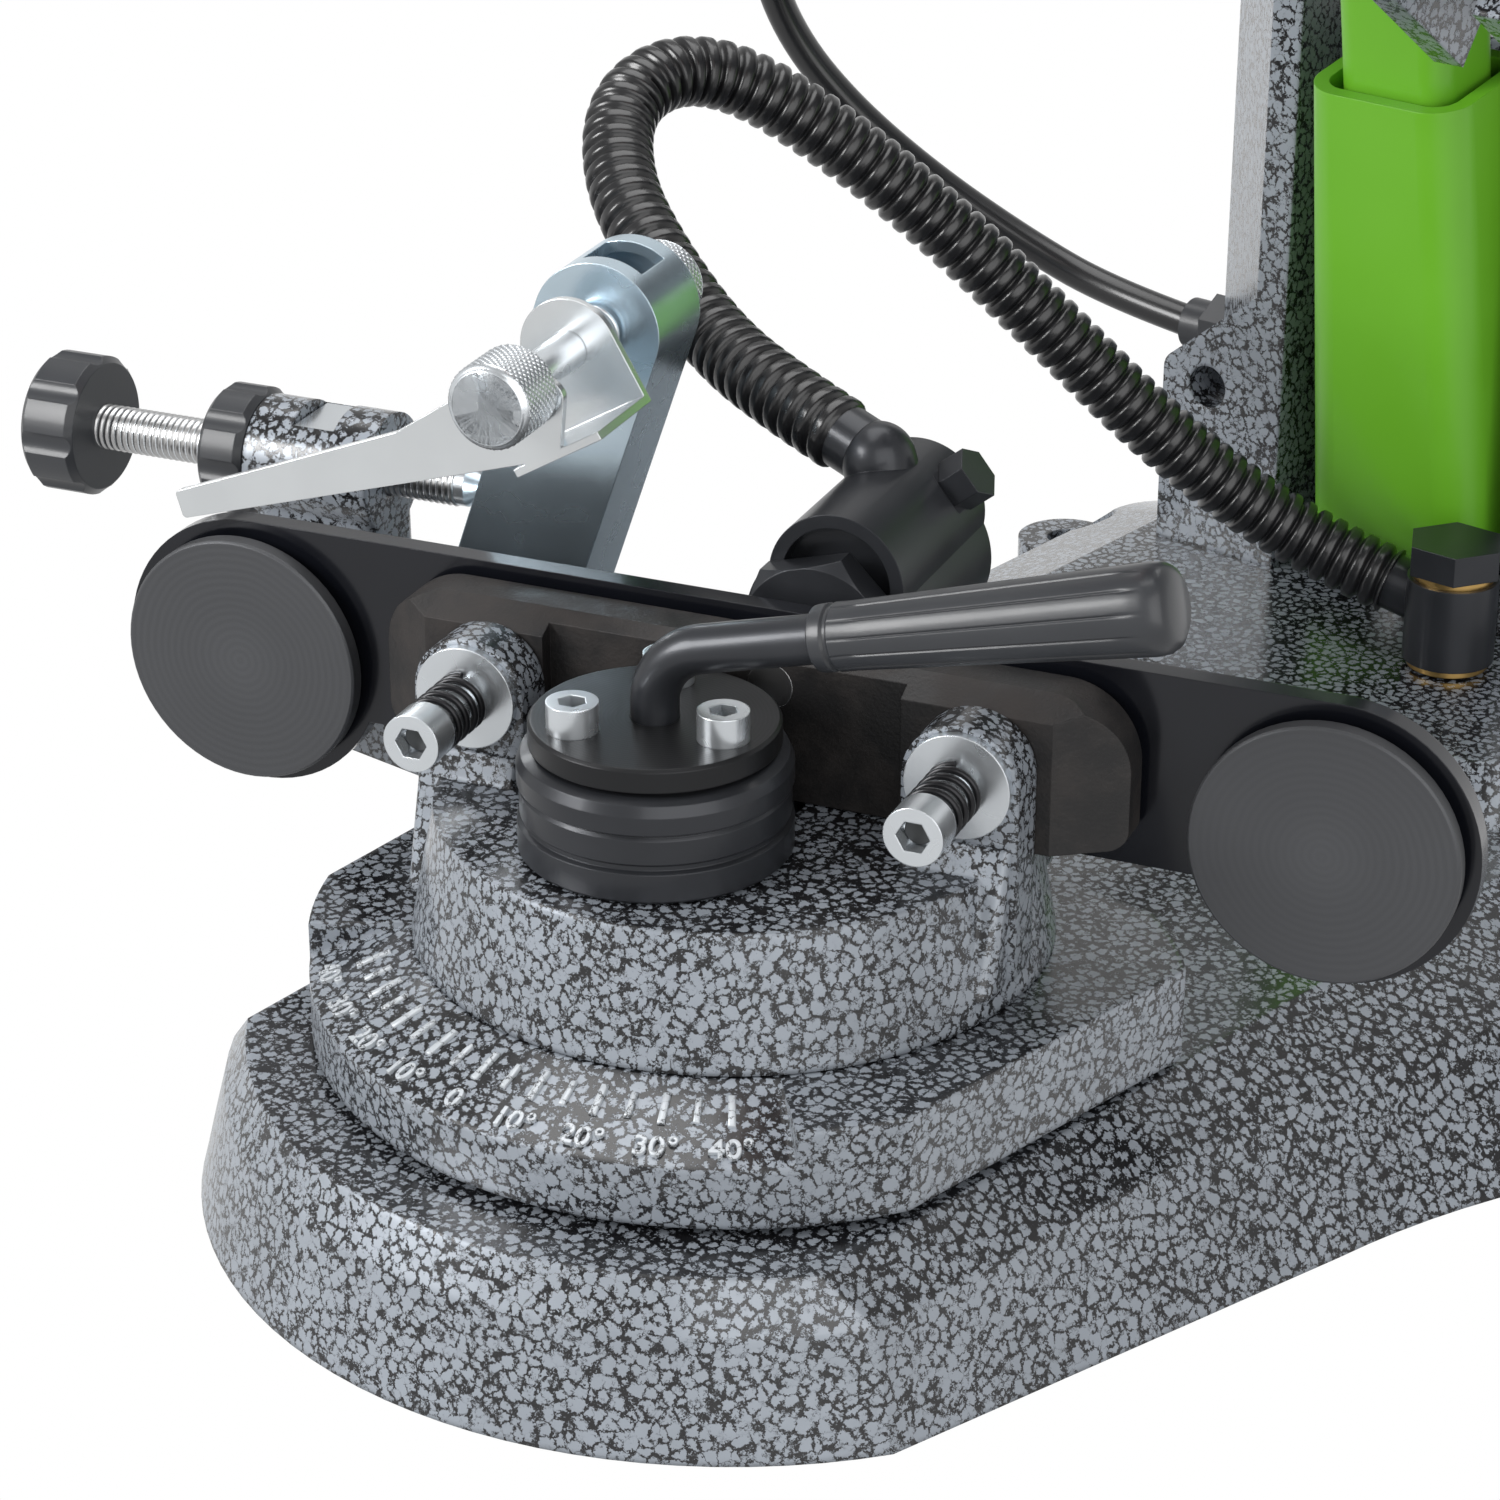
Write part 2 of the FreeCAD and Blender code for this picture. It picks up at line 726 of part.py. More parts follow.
def base_level(z, lobe, neck, waist, foot):
    """Outline of the base at one height: round lobe, splayed sides, flared rear foot."""
    neck_y = -math.sqrt(lobe * lobe - neck * neck)
    flare_x = waist + 0.36 * (foot - waist)
    flare_y = 0.5 * (WAIST_Y + FOOT_Y)
    corner = REAR_CORNER * (1 - math.sqrt(0.5))
    rear = BASE_REAR_Y - (BENCH_FOOT - foot) * 0.4
    trace = Trace(plan(z), (-neck, neck_y))
    trace.arc((0, -lobe), (neck, neck_y)).line((waist, WAIST_Y))
    trace.arc((flare_x, flare_y), (foot, FOOT_Y)).line((foot, rear - REAR_CORNER))
    trace.arc((foot - corner, rear - corner), (foot - REAR_CORNER, rear))
    trace.line((REAR_CORNER - foot, rear))
    trace.arc((corner - foot, rear - corner), (-foot, rear - REAR_CORNER)).line((-foot, FOOT_Y))
    trace.arc((-flare_x, flare_y), (-waist, WAIST_Y))
    return trace.close()


def bench_bolt_places():
    """Centres of the bench bolt holes."""
    return [Vector(x, y, 0) for y in (BOLT_FRONT_Y, BOLT_REAR_Y) for x in (-BOLT_X, BOLT_X)]


def column_bolt_places():
    """Centres of the screws that hold the column."""
    return [Vector(x, y, 0) for y in (COLUMN_BOLT_FRONT_Y, COLUMN_BOLT_REAR_Y)
            for x in (-COLUMN_BOLT_X, COLUMN_BOLT_X)]


def base_casting():
    """Cast base with bench lugs, swivel seat and rear pedestal."""
    levels = [base_level(0, BENCH_LOBE, BENCH_NECK, BENCH_WAIST, BENCH_FOOT),
              base_level(SHOULDER_Z, SHOULDER_LOBE, SHOULDER_NECK, SHOULDER_WAIST, SHOULDER_FOOT),
              base_level(DECK_Z, DECK_LOBE, DECK_NECK, DECK_WAIST, DECK_FOOT)]
    body = Part.makeLoft(levels, True, True)
    draft = 0.5 * (PEDESTAL_Z - DECK_Z)
    pedestal_rear = COLUMN_REAR_Y + 1
    low = rectangle(-PEDESTAL_HALF - draft, PEDESTAL_HALF + draft, PEDESTAL_FRONT_Y - 2 * draft,
                    pedestal_rear, REAR_CORNER, plan(DECK_Z))
    high = rectangle(-PEDESTAL_HALF, PEDESTAL_HALF, PEDESTAL_FRONT_Y, pedestal_rear,
                     REAR_CORNER - draft, plan(PEDESTAL_Z))
    pedestal = Part.makeLoft([low, high], True, True)
    seat = rod(SEAT_RADIUS, Vector(0, 0, DECK_Z), Vector(0, 0, SEAT_Z))
    bosses = [rod(BOLT_BOSS_RADIUS, spot, spot + Z_AXIS * BOLT_BOSS_Z) for spot in bench_bolt_places()]
    body = join([body, pedestal, seat] + bosses)
    inset = BENCH_WAIST - 2 * RELIEF_RIM
    relief_rear = column_bolt_places()[0].y - 2 * COLUMN_BOLT_HEAD_RADIUS
    relief = [ring(BENCH_LOBE - 2 * RELIEF_RIM, CENTRE_PAD, Vector(0, 0, -1), Vector(0, 0, RELIEF_DEPTH)),
              prism(rectangle(-inset, inset, BENCH_LOBE - RELIEF_RIM, relief_rear, RELIEF_RIM, plan(-1)),
                    Z_AXIS * (RELIEF_DEPTH + 1))]
    cuts = relief + [rod(STUD_RADIUS, Vector(0, 0, STUD_ROOT_Z), Vector(0, 0, SEAT_Z + 1))]
    for spot in bench_bolt_places():
        cuts.append(rod(BOLT_HOLE_RADIUS, spot - Z_AXIS, spot + Z_AXIS * BOLT_BOSS_Z))
        cuts.append(rod(BOLT_BOSS_RADIUS, spot + Z_AXIS * BOLT_BOSS_Z, spot + Z_AXIS * (PEDESTAL_Z + 1)))
    for spot in column_bolt_places():
        cuts.append(rod(COLUMN_BOLT_RADIUS, spot, spot + Z_AXIS * (PEDESTAL_Z + 1)))
        cuts.append(rod(COLUMN_BOLT_HEAD_RADIUS + GAP, spot - Z_AXIS, spot + Z_AXIS * COLUMN_BOLT_RECESS))
    cuts.append(strut(rod(MASTER_RADIUS, Z_AXIS * MASTER_LOW, Z_AXIS * MASTER_HIGH)))
    banjo = Vector(BANJO_X, BANJO_Y, 0)
    cuts.append(rod(BANJO_BOLT_RADIUS, banjo + Z_AXIS * banjo_root_z(), banjo + Z_AXIS * BANJO_LOW_Z))
    return less(body, cuts)


def banjo_root_z():
    """Height of the banjo bolt's end inside the pedestal."""
    return PEDESTAL_Z - 2.4 * BANJO_BOLT_RADIUS


def scale_plate():
    """Fixed plate under the vise, its front bevelled for the angle scale."""
    neck_y = -math.sqrt(PLATE_RADIUS ** 2 - PLATE_NECK ** 2)
    corner = 0.5 * (PLATE_REAR_Y - PLATE_CORNER_Y)
    trace = Trace(plan(SEAT_Z), (-PLATE_NECK, neck_y))
    trace.arc((0, -PLATE_RADIUS), (PLATE_NECK, neck_y)).line((PLATE_CORNER_X, PLATE_CORNER_Y))
    trace.arc((PLATE_CORNER_X - corner, PLATE_REAR_Y - corner),
              (PLATE_CORNER_X - 2 * corner - 3, PLATE_REAR_Y))
    trace.line((-PLATE_CORNER_X + 2 * corner + 3, PLATE_REAR_Y))
    trace.arc((-PLATE_CORNER_X + corner, PLATE_REAR_Y - corner), (-PLATE_CORNER_X, PLATE_CORNER_Y))
    plate = prism(trace.close(), Z_AXIS * (PLATE_TOP_Z - SEAT_Z))
    past = PLATE_RADIUS + 6
    slope = (PLATE_TOP_Z - PLATE_RIM_Z) / (PLATE_RADIUS - SCALE_INNER_RADIUS)
    low_z = PLATE_TOP_Z - slope * (past - SCALE_INNER_RADIUS)
    points = [(SCALE_INNER_RADIUS, PLATE_TOP_Z), (past, low_z), (past, PLATE_TOP_Z + 2),
              (SCALE_INNER_RADIUS, PLATE_TOP_Z + 2)]
    points = [Vector(radius, 0, height) for radius, height in points]
    bevel = Part.Face(Part.makePolygon(points + [points[0]]))
    bevel = bevel.revolve(Vector(0, 0, 0), Z_AXIS, 2 * SCALE_HALF_ANGLE)
    bevel.rotate(Vector(0, 0, 0), Z_AXIS, -90 - SCALE_HALF_ANGLE)
    hole = rod(STUD_RADIUS, Z_AXIS * SEAT_Z, Z_AXIS * PLATE_TOP_Z)
    return less(plate, [bevel, hole])


def swivel_stud():
    """Shouldered stud pressed into the base, on which the vise turns."""
    shoulder = SWIVEL_POCKET_FLOOR_Z + GAP
    end = shoulder + SWIVEL_WASHER_HEIGHT + SWIVEL_NUT_HEIGHT + 1
    return join([rod(STUD_RADIUS, Z_AXIS * STUD_ROOT_Z, Z_AXIS * shoulder),
                 rod(STUD_THREAD_RADIUS, Z_AXIS * STUD_ROOT_Z, Z_AXIS * end)])


def swivel_nut():
    """Washer-faced nut that keeps the vise down on the plate."""
    low = SWIVEL_POCKET_FLOOR_Z + GAP
    face = low + SWIVEL_WASHER_HEIGHT
    nut = join([rod(SWIVEL_WASHER_RADIUS, Z_AXIS * low, Z_AXIS * face),
                hexagon(SWIVEL_NUT_FLATS, Z_AXIS * face, Z_AXIS * (face + SWIVEL_NUT_HEIGHT))])
    return nut.cut(rod(STUD_THREAD_RADIUS, Z_AXIS * low, Z_AXIS * (face + SWIVEL_NUT_HEIGHT)))


# Vise casting and rail, drawn with the rail along X

def vise_body():
    """Swivelling casting with spring posts, rail wall, cylinder cradle and adjuster outrigger."""
    ring_body = Part.makeCone(RING_RADIUS, RING_TOP_RADIUS, RING_TOP_Z - VISE_FLOOR_Z,
                              Vector(0, 0, VISE_FLOOR_Z))
    pieces = [ring_body]
    for sign in (-1, 1):
        pieces.append(spring_post(sign))
    wall_low = VISE_FLOOR_Z + 6
    wall_back = RAIL_BACK_V + BACK_WALL_DEPTH
    wall = rectangle(-BACK_WALL_HALF, BACK_WALL_HALF, wall_low, BACK_WALL_Z, 4, front(RAIL_BACK_V))
    pieces.append(prism(wall, Y_AXIS * BACK_WALL_DEPTH))
    pieces.append(cradle(wall_low))
    pieces.extend(outrigger(wall_back))
    body = join(pieces)
    return swivel(less(body, vise_cuts()))


def spring_post(sign):
    """Upright lug in front of the jaw, blended down to the ring by a tapering foot."""
    centre = sign * POST_U
    foot_z = VISE_FLOOR_Z + 4
    trace = Trace(front(POST_FRONT_V), (centre - POST_RADIUS, foot_z))
    trace.line((centre + POST_RADIUS, foot_z)).line((centre + POST_RADIUS, POST_Z))
    trace.arc((centre, POST_Z + POST_RADIUS), (centre - POST_RADIUS, POST_Z))
    post = prism(trace.close(), Y_AXIS * POST_DEPTH)
    toe = 0.9 * POST_RADIUS
    low = rectangle(centre - toe, centre + toe, POST_FRONT_V - toe, POST_FRONT_V + 2, 3, plan(foot_z))
    high = rectangle(centre - toe, centre + toe, POST_FRONT_V - 1, POST_FRONT_V + 2, 1,
                     plan(POST_Z - POST_RADIUS))
    return join([post, Part.makeLoft([low, high], True, True)])


def cradle(low_z):
    """Saddle behind the rail that carries the clamp cylinder."""
    half = SLAVE_RADIUS + CRADLE_WALL
    outline = Trace(front(RAIL_BACK_V), (SLAVE_U - half, low_z))
    outline.line((SLAVE_U + half, low_z)).line((SLAVE_U + half, SLAVE_Z))
    outline.line((SLAVE_U - half, SLAVE_Z))
    back = SLAVE_FRONT_V + CRADLE_DEPTH
    pieces = [prism(outline.close(), Y_AXIS * (back - RAIL_BACK_V))]
    for u in (GALLERY_U - GALLERY_RADIUS - EAR_WIDTH, GALLERY_U + GALLERY_RADIUS):
        ear = Trace(side(u), (RAIL_BACK_V, low_z))
        ear.line((RAIL_BACK_V, EAR_FRONT_Z)).line((SLAVE_FRONT_V, EAR_TOP_Z)).line((back, EAR_TOP_Z))
        pieces.append(prism(ear.line((back, low_z)).close(), X_AXIS * EAR_WIDTH))
    return join(pieces)


def outrigger(wall_back):
    """Left arm of the casting with the stop's pivot lugs and the adjuster's boss."""
    left = ADJUSTER_BOSS_LEFT - 2
    floor = rounded([(left, STOP_FRONT_V - 2, OUTRIGGER_CORNER), (STOP_PIVOT_U, OUTRIGGER_FRONT_V, 8),
                     (-20, OUTRIGGER_FRONT_V, 4), (-20, wall_back + 8, 4),
                     (STOP_PIVOT_U + 14, STOP_BACK_V + STOP_LUG_THICK, 8),
                     (left, STOP_BACK_V + 4, OUTRIGGER_CORNER)], plan(OUTRIGGER_Z))
    pieces = [prism(floor, Z_AXIS * OUTRIGGER_THICK)]
    for v in (STOP_FRONT_V - GAP - STOP_LUG_THICK, STOP_BACK_V + GAP):
        trace = Trace(front(v), (STOP_PIVOT_U - STOP_LUG_RADIUS - 3, OUTRIGGER_Z + 1))
        trace.line((STOP_PIVOT_U + STOP_LUG_RADIUS + 3, OUTRIGGER_Z + 1))
        trace.line((STOP_PIVOT_U + STOP_LUG_RADIUS, STOP_PIVOT_Z))
        trace.arc((STOP_PIVOT_U, STOP_PIVOT_Z + STOP_LUG_RADIUS),
                  (STOP_PIVOT_U - STOP_LUG_RADIUS, STOP_PIVOT_Z))
        pieces.append(prism(trace.close(), Y_AXIS * STOP_LUG_THICK))
    pieces.append(rod(ADJUSTER_BOSS_RADIUS, Vector(ADJUSTER_BOSS_LEFT, ADJUSTER_V, ADJUSTER_Z),
                      Vector(ADJUSTER_BOSS_RIGHT, ADJUSTER_V, ADJUSTER_Z)))
    stem = 0.72 * ADJUSTER_BOSS_RADIUS
    foot = rectangle(ADJUSTER_BOSS_LEFT, ADJUSTER_BOSS_RIGHT, ADJUSTER_V - stem - 2, ADJUSTER_V + stem + 2,
                     4, plan(OUTRIGGER_Z + 1))
    neck = rectangle(ADJUSTER_BOSS_LEFT, ADJUSTER_BOSS_RIGHT, ADJUSTER_V - stem, ADJUSTER_V + stem,
                     3, plan(ADJUSTER_Z))
    pieces.append(Part.makeLoft([foot, neck], True, True))
    return pieces


def vise_cuts():
    """Bores, pockets and slots of the vise casting."""
    cuts = [rod(STUD_RADIUS + RUN, Z_AXIS * VISE_FLOOR_Z, Z_AXIS * SWIVEL_POCKET_FLOOR_Z),
            rod(SWIVEL_POCKET_RADIUS, Z_AXIS * SWIVEL_POCKET_FLOOR_Z, Z_AXIS * (RING_TOP_Z + 1))]
    slot_half = RING_RADIUS + 10
    cuts.append(block(Vector(-slot_half, RAIL_FRONT_V, RAIL_LOW_Z),
                      Vector(slot_half, RAIL_BACK_V, RING_TOP_Z + 1)))
    cuts.append(rod(CAM_PIN_RADIUS, Vector(CAM_PIN_U, CAM_PIN_V, CAM_PIN_SEAT_Z),
                    Vector(CAM_PIN_U, CAM_PIN_V, RING_TOP_Z)))
    clear = JAW_SCREW_RADIUS + GAP
    for sign in (-1, 1):
        cuts.append(rod(clear, Vector(sign * POST_U, POST_FRONT_V - 12, POST_Z),
                        Vector(sign * POST_U, POST_BACK_V, POST_Z)))
        cuts.append(rod(RAIL_SCREW_RADIUS, Vector(sign * RAIL_SCREW_U, RAIL_BACK_V, RAIL_SCREW_Z),
                        Vector(sign * RAIL_SCREW_U, RAIL_FRONT_V + RAIL_SCREW_LENGTH, RAIL_SCREW_Z)))
    drum_room = Vector(DRUM_U, DRUM_V, RING_TOP_Z)
    cuts.append(rod(DRUM_RADIUS + CAM_THROW * 2 + GAP, drum_room, drum_room + Z_AXIS * 40))
    spot = Vector(SLAVE_U, SLAVE_FRONT_V, SLAVE_Z)
    cuts.append(rod(SLAVE_RADIUS, spot, spot + Y_AXIS * SLAVE_LENGTH))
    cuts.append(rod(GALLERY_RADIUS + RUN, gallery_at(SLAVE_FRONT_V), gallery_at(SLAVE_BACK_V)))
    hex_room = GLAND_FLATS / math.sqrt(3) + 1
    cuts.append(rod(hex_room, spot - Y_AXIS * (GLAND_LENGTH + 0.5), spot))
    cuts.append(rod(SLAVE_ROD_RADIUS + GAP, Vector(SLAVE_U, RAIL_BACK_V, SLAVE_Z), spot))
    cuts.append(rod(STOP_PIN_RADIUS, Vector(STOP_PIVOT_U, STOP_FRONT_V - GAP - STOP_LUG_THICK, STOP_PIVOT_Z),
                    Vector(STOP_PIVOT_U, STOP_BACK_V + GAP + STOP_LUG_THICK, STOP_PIVOT_Z)))
    adjuster = Vector(ADJUSTER_BOSS_LEFT, ADJUSTER_V, ADJUSTER_Z)
    cuts.append(rod(ADJUSTER_RADIUS + GAP, adjuster, adjuster + X_AXIS * ADJUSTER_BOSS_LENGTH))
    slot_left = captive_slot_left()
    width = CAPTIVE_NUT_FLATS / 2
    cuts.append(block(Vector(slot_left, ADJUSTER_V - width, ADJUSTER_Z - width),
                      Vector(slot_left + ADJUSTER_SLOT_LENGTH, ADJUSTER_V + width,
                             ADJUSTER_Z + ADJUSTER_BOSS_RADIUS + 1)))
    return cuts


def captive_slot_left():
    """Left end of the slot that holds the adjuster's nut."""
    return 0.5 * (ADJUSTER_BOSS_LEFT + ADJUSTER_BOSS_RIGHT - ADJUSTER_SLOT_LENGTH)


def rear_rail():
    """Flat rail behind the chain with round ends."""
    height = 2 * RAIL_END_RADIUS
    top = RAIL_CENTRE_Z + RAIL_END_RADIUS
    bar = block(Vector(-RAIL_HALF, RAIL_FRONT_V, RAIL_LOW_Z), Vector(RAIL_HALF, RAIL_BACK_V, top))
    ends = [rod(height / 2, Vector(u, RAIL_FRONT_V, RAIL_CENTRE_Z), Vector(u, RAIL_BACK_V, RAIL_CENTRE_Z))
            for u in (-RAIL_HALF, RAIL_HALF)]
    cuts = [rod(DISC_PIN_RADIUS, Vector(u, RAIL_FRONT_V, RAIL_CENTRE_Z), Vector(u, RAIL_BACK_V, RAIL_CENTRE_Z))
            for u in (-RAIL_HALF, RAIL_HALF)]
    cuts.append(rod(SLAVE_ROD_RADIUS + GAP, Vector(SLAVE_U, RAIL_FRONT_V, SLAVE_Z),
                    Vector(SLAVE_U, RAIL_BACK_V, SLAVE_Z)))
    cuts.extend(rail_screw(sign) for sign in (-1, 1))
    return swivel(less(join([bar] + ends), cuts))


def rail_screw(sign):
    """Countersunk screw from the rail's face into the casting."""
    face = Vector(sign * RAIL_SCREW_U, RAIL_FRONT_V, RAIL_SCREW_Z)
    depth = RAIL_SCREW_HEAD_RADIUS - RAIL_SCREW_RADIUS
    profile = [(0, 0), (RAIL_SCREW_HEAD_RADIUS, 0), (RAIL_SCREW_RADIUS, depth),
               (RAIL_SCREW_RADIUS, RAIL_SCREW_LENGTH), (0, RAIL_SCREW_LENGTH)]
    return turned(profile, face, Y_AXIS)


def rail_screws():
    """Both rail screws."""
    return swivel(Part.makeCompound([rail_screw(sign) for sign in (-1, 1)]))


def guide_discs():
    """Disc at each end of the rail, spaced off it by the chain slot, with a stud through the rail."""
    discs = []
    for u in (-RAIL_HALF, RAIL_HALF):
        at = Vector(u, DISC_FRONT_V, RAIL_CENTRE_Z)
        stud_end = Vector(u, RAIL_BACK_V + DISC_NUT_HEIGHT, RAIL_CENTRE_Z)
        bevel = 0.4
        profile = [(0, 0), (DISC_RADIUS - bevel, 0), (DISC_RADIUS, bevel), (DISC_RADIUS, DISC_THICK),
                   (DISC_BOSS_RADIUS, DISC_THICK), (DISC_BOSS_RADIUS, DISC_THICK + CHAIN_SLOT),
                   (DISC_PIN_RADIUS, DISC_THICK + CHAIN_SLOT),
                   (DISC_PIN_RADIUS, (stud_end - at).Length), (0, (stud_end - at).Length)]
        discs.append(turned(profile, at, Y_AXIS))
    return swivel(Part.makeCompound(discs))


def disc_nuts():
    """Nuts of the guide discs behind the rail."""
    nuts = []
    for u in (-RAIL_HALF, RAIL_HALF):
        at = Vector(u, RAIL_BACK_V, RAIL_CENTRE_Z)
        nut = hexagon(DISC_NUT_FLATS, at, at + Y_AXIS * DISC_NUT_HEIGHT)
        nuts.append(nut.cut(rod(DISC_PIN_RADIUS, at, at + Y_AXIS * DISC_NUT_HEIGHT)))
    return swivel(Part.makeCompound(nuts))


def cam_pin():
    """Pin in the casting on which the cam drum turns."""
    top = Vector(CAM_PIN_U, CAM_PIN_V, DRUM_TOP_Z - 3)
    return swivel(rod(CAM_PIN_RADIUS, Vector(CAM_PIN_U, CAM_PIN_V, CAM_PIN_SEAT_Z), top))


def spring_washers():
    """Wide washers between the posts and the springs."""
    washers = []
    for sign in (-1, 1):
        at = Vector(sign * POST_U, WASHER_FRONT_V, POST_Z)
        washers.append(ring(SPRING_WASHER_RADIUS, JAW_SCREW_RADIUS + GAP, at, at + Y_AXIS * SPRING_WASHER_THICK))
    return swivel(Part.makeCompound(washers))


# Jaw

def front_jaw():
    """Cast jaw with angled wings and a recess where the cam bears."""
    plan_trace = Trace(plan(JAW_LOW_Z), (-JAW_HALF, JAW_BACK_V))
    plan_trace.line((-JAW_HALF, JAW_WING_V)).line((-JAW_WING_U, JAW_FRONT_V))
    plan_trace.line((JAW_RECESS_LEFT, JAW_FRONT_V)).line((JAW_RECESS_LEFT, JAW_RECESS_V))
    plan_trace.line((JAW_RECESS_RIGHT, JAW_RECESS_V)).line((JAW_RECESS_RIGHT, JAW_FRONT_V))
    plan_trace.line((JAW_WING_U, JAW_FRONT_V)).line((JAW_HALF, JAW_WING_V)).line((JAW_HALF, JAW_BACK_V))
    body = prism(plan_trace.close(), Z_AXIS * (JAW_TOP_Z - JAW_LOW_Z))
    deep = JAW_FRONT_V - 2
    face = rounded([(-JAW_HALF, JAW_LOW_Z, 3), (JAW_HALF, JAW_LOW_Z, 3), (JAW_HALF, JAW_TOP_Z, JAW_CORNER),
                    (-JAW_HALF, JAW_TOP_Z, JAW_CORNER)], front(deep))
    body = body.common(prism(face, Y_AXIS * (JAW_BACK_V - deep)))
    slope = Trace(side(-JAW_HALF - 1), (deep, JAW_TOP_Z - 4))
    slope.line((JAW_RECESS_V + 3, JAW_TOP_Z)).line((JAW_RECESS_V + 3, JAW_TOP_Z + 2)).line((deep, JAW_TOP_Z + 2))
    cuts = [prism(slope.close(), X_AXIS * (2 * JAW_HALF + 2))]
    for sign in (-1, 1):
        at = Vector(sign * POST_U, JAW_FRONT_V - 1, POST_Z)
        cuts.append(rod(JAW_SCREW_RADIUS, at, Vector(at.x, JAW_FRONT_V + JAW_SCREW_GRIP, at.z)))
    at = Vector(SLAVE_U, JAW_RECESS_V - 1, SLAVE_Z)
    cuts.append(rod(SLAVE_ROD_RADIUS, at, Vector(at.x, JAW_BACK_V, at.z)))
    return swivel(less(body, cuts))


def jaw_screws():
    """Socket screws that pull the jaw open against the springs."""
    screws = []
    length = JAW_FRONT_V + JAW_SCREW_GRIP - JAW_HEAD_V
    for sign in (-1, 1):
        top = Vector(sign * POST_U, JAW_HEAD_V - JAW_SCREW_HEAD_HEIGHT, POST_Z)
        screws.append(cap_screw(JAW_SCREW_HEAD_RADIUS, JAW_SCREW_HEAD_HEIGHT, JAW_SCREW_RADIUS, length,
                                top, Y_AXIS))
    return swivel(Part.makeCompound(screws))


def jaw_springs():
    """Compression springs between the screw heads and the washers."""
    springs = []
    for sign in (-1, 1):
        spring = coil(SPRING_MEAN_RADIUS, SPRING_WIRE_RADIUS, SPRING_LENGTH, SPRING_TURNS, "jaw spring")
        spring.rotate(Vector(0, 0, 0), X_AXIS, -90)
        spring.translate(Vector(sign * POST_U, JAW_HEAD_V, POST_Z))
        springs.append(spring)
    return swivel(Part.makeCompound(springs))


def jaw_piston():
    """Piston of the clamp cylinder and the rod that draws the jaw to the rail."""
    crown = SLAVE_BACK_V - SLAVE_WALL - 2 * JAW_TRAVEL
    piston = rod(SLAVE_BORE_RADIUS - RUN, Vector(SLAVE_U, crown - PISTON_LENGTH, SLAVE_Z),
                 Vector(SLAVE_U, crown, SLAVE_Z))
    stem = rod(SLAVE_ROD_RADIUS, Vector(SLAVE_U, JAW_RECESS_V, SLAVE_Z), Vector(SLAVE_U, crown - 1, SLAVE_Z))
    return swivel(join([piston, stem]))


# Cam lever

def cam_drum():
    """Eccentric drum with a rolled rim and turned grooves."""
    low_band = DRUM_LOWER_BAND
    groove = DRUM_RADIUS - DRUM_GROOVE_DEPTH
    upper = DRUM_HEIGHT - DRUM_RIM - 3
    profile = [(0, 0), (DRUM_RADIUS - 0.5, 0), (DRUM_RADIUS, 0.5), (DRUM_RADIUS, low_band),
               (groove, low_band + 0.4), (groove, low_band + DRUM_GROOVE_WIDTH),
               (DRUM_RADIUS - 0.4, low_band + DRUM_GROOVE_WIDTH + 0.4),
               (DRUM_RADIUS - 0.4, upper - DRUM_GROOVE_WIDTH), (groove, upper - 0.5 * DRUM_GROOVE_WIDTH),
               (DRUM_RADIUS, upper), (DRUM_RADIUS, DRUM_HEIGHT - DRUM_RIM),
               (DRUM_RADIUS - 0.3 * DRUM_RIM, DRUM_HEIGHT - 0.3 * DRUM_RIM),
               (DRUM_RADIUS - DRUM_RIM, DRUM_HEIGHT), (NECK_RADIUS, DRUM_HEIGHT),
               (NECK_RADIUS, DRUM_HEIGHT + NECK_HEIGHT), (0, DRUM_HEIGHT + NECK_HEIGHT)]
    drum = turned(profile, Vector(DRUM_U, DRUM_V, DRUM_LOW_Z), Z_AXIS)
    pin = Vector(CAM_PIN_U, CAM_PIN_V, DRUM_LOW_Z)
    cuts = [rod(CAM_PIN_RADIUS + RUN, pin, Vector(pin.x, pin.y, DRUM_TOP_Z - 3 + GAP))]
    for spot in cam_screw_places(CAM_PLATE_Z):
        cuts.append(rod(CAM_SCREW_RADIUS, spot - Z_AXIS * (CAM_SCREW_GRIP - CAM_PLATE_THICK), spot))
    return swivel(less(drum, cuts))


def cam_screw_places(z):
    """Centres of the three screws on the cam plate at height z."""
    places = []
    for index in range(3):
        angle = math.radians(CAM_SCREW_ANGLE + 120 * index)
        places.append(Vector(DRUM_U + CAM_SCREW_CIRCLE * math.cos(angle),
                             DRUM_V + CAM_SCREW_CIRCLE * math.sin(angle), z))
    return places


def cam_plate():
    """Round plate that carries the lever."""
    low = Vector(DRUM_U, DRUM_V, CAM_PLATE_Z)
    bevel = 0.5
    profile = [(0, 0), (CAM_PLATE_RADIUS, 0), (CAM_PLATE_RADIUS, CAM_PLATE_THICK - bevel),
               (CAM_PLATE_RADIUS - bevel, CAM_PLATE_THICK), (0, CAM_PLATE_THICK)]
    plate = turned(profile, low, Z_AXIS)
    cuts = [rod(CAM_SCREW_RADIUS, spot, spot + Z_AXIS * CAM_PLATE_THICK)
            for spot in cam_screw_places(CAM_PLATE_Z)]
    cuts.append(rod(LEVER_RADIUS, low, low + Z_AXIS * CAM_PLATE_THICK))
    return swivel(less(plate, cuts))


def cam_screws():
    """Socket screws of the cam plate."""
    top = CAM_TOP_Z + CAM_SCREW_HEAD_HEIGHT
    screws = [cap_screw(CAM_SCREW_HEAD_RADIUS, CAM_SCREW_HEAD_HEIGHT, CAM_SCREW_RADIUS, CAM_SCREW_GRIP,
                        spot, -Z_AXIS) for spot in cam_screw_places(top)]
    return swivel(Part.makeCompound(screws))


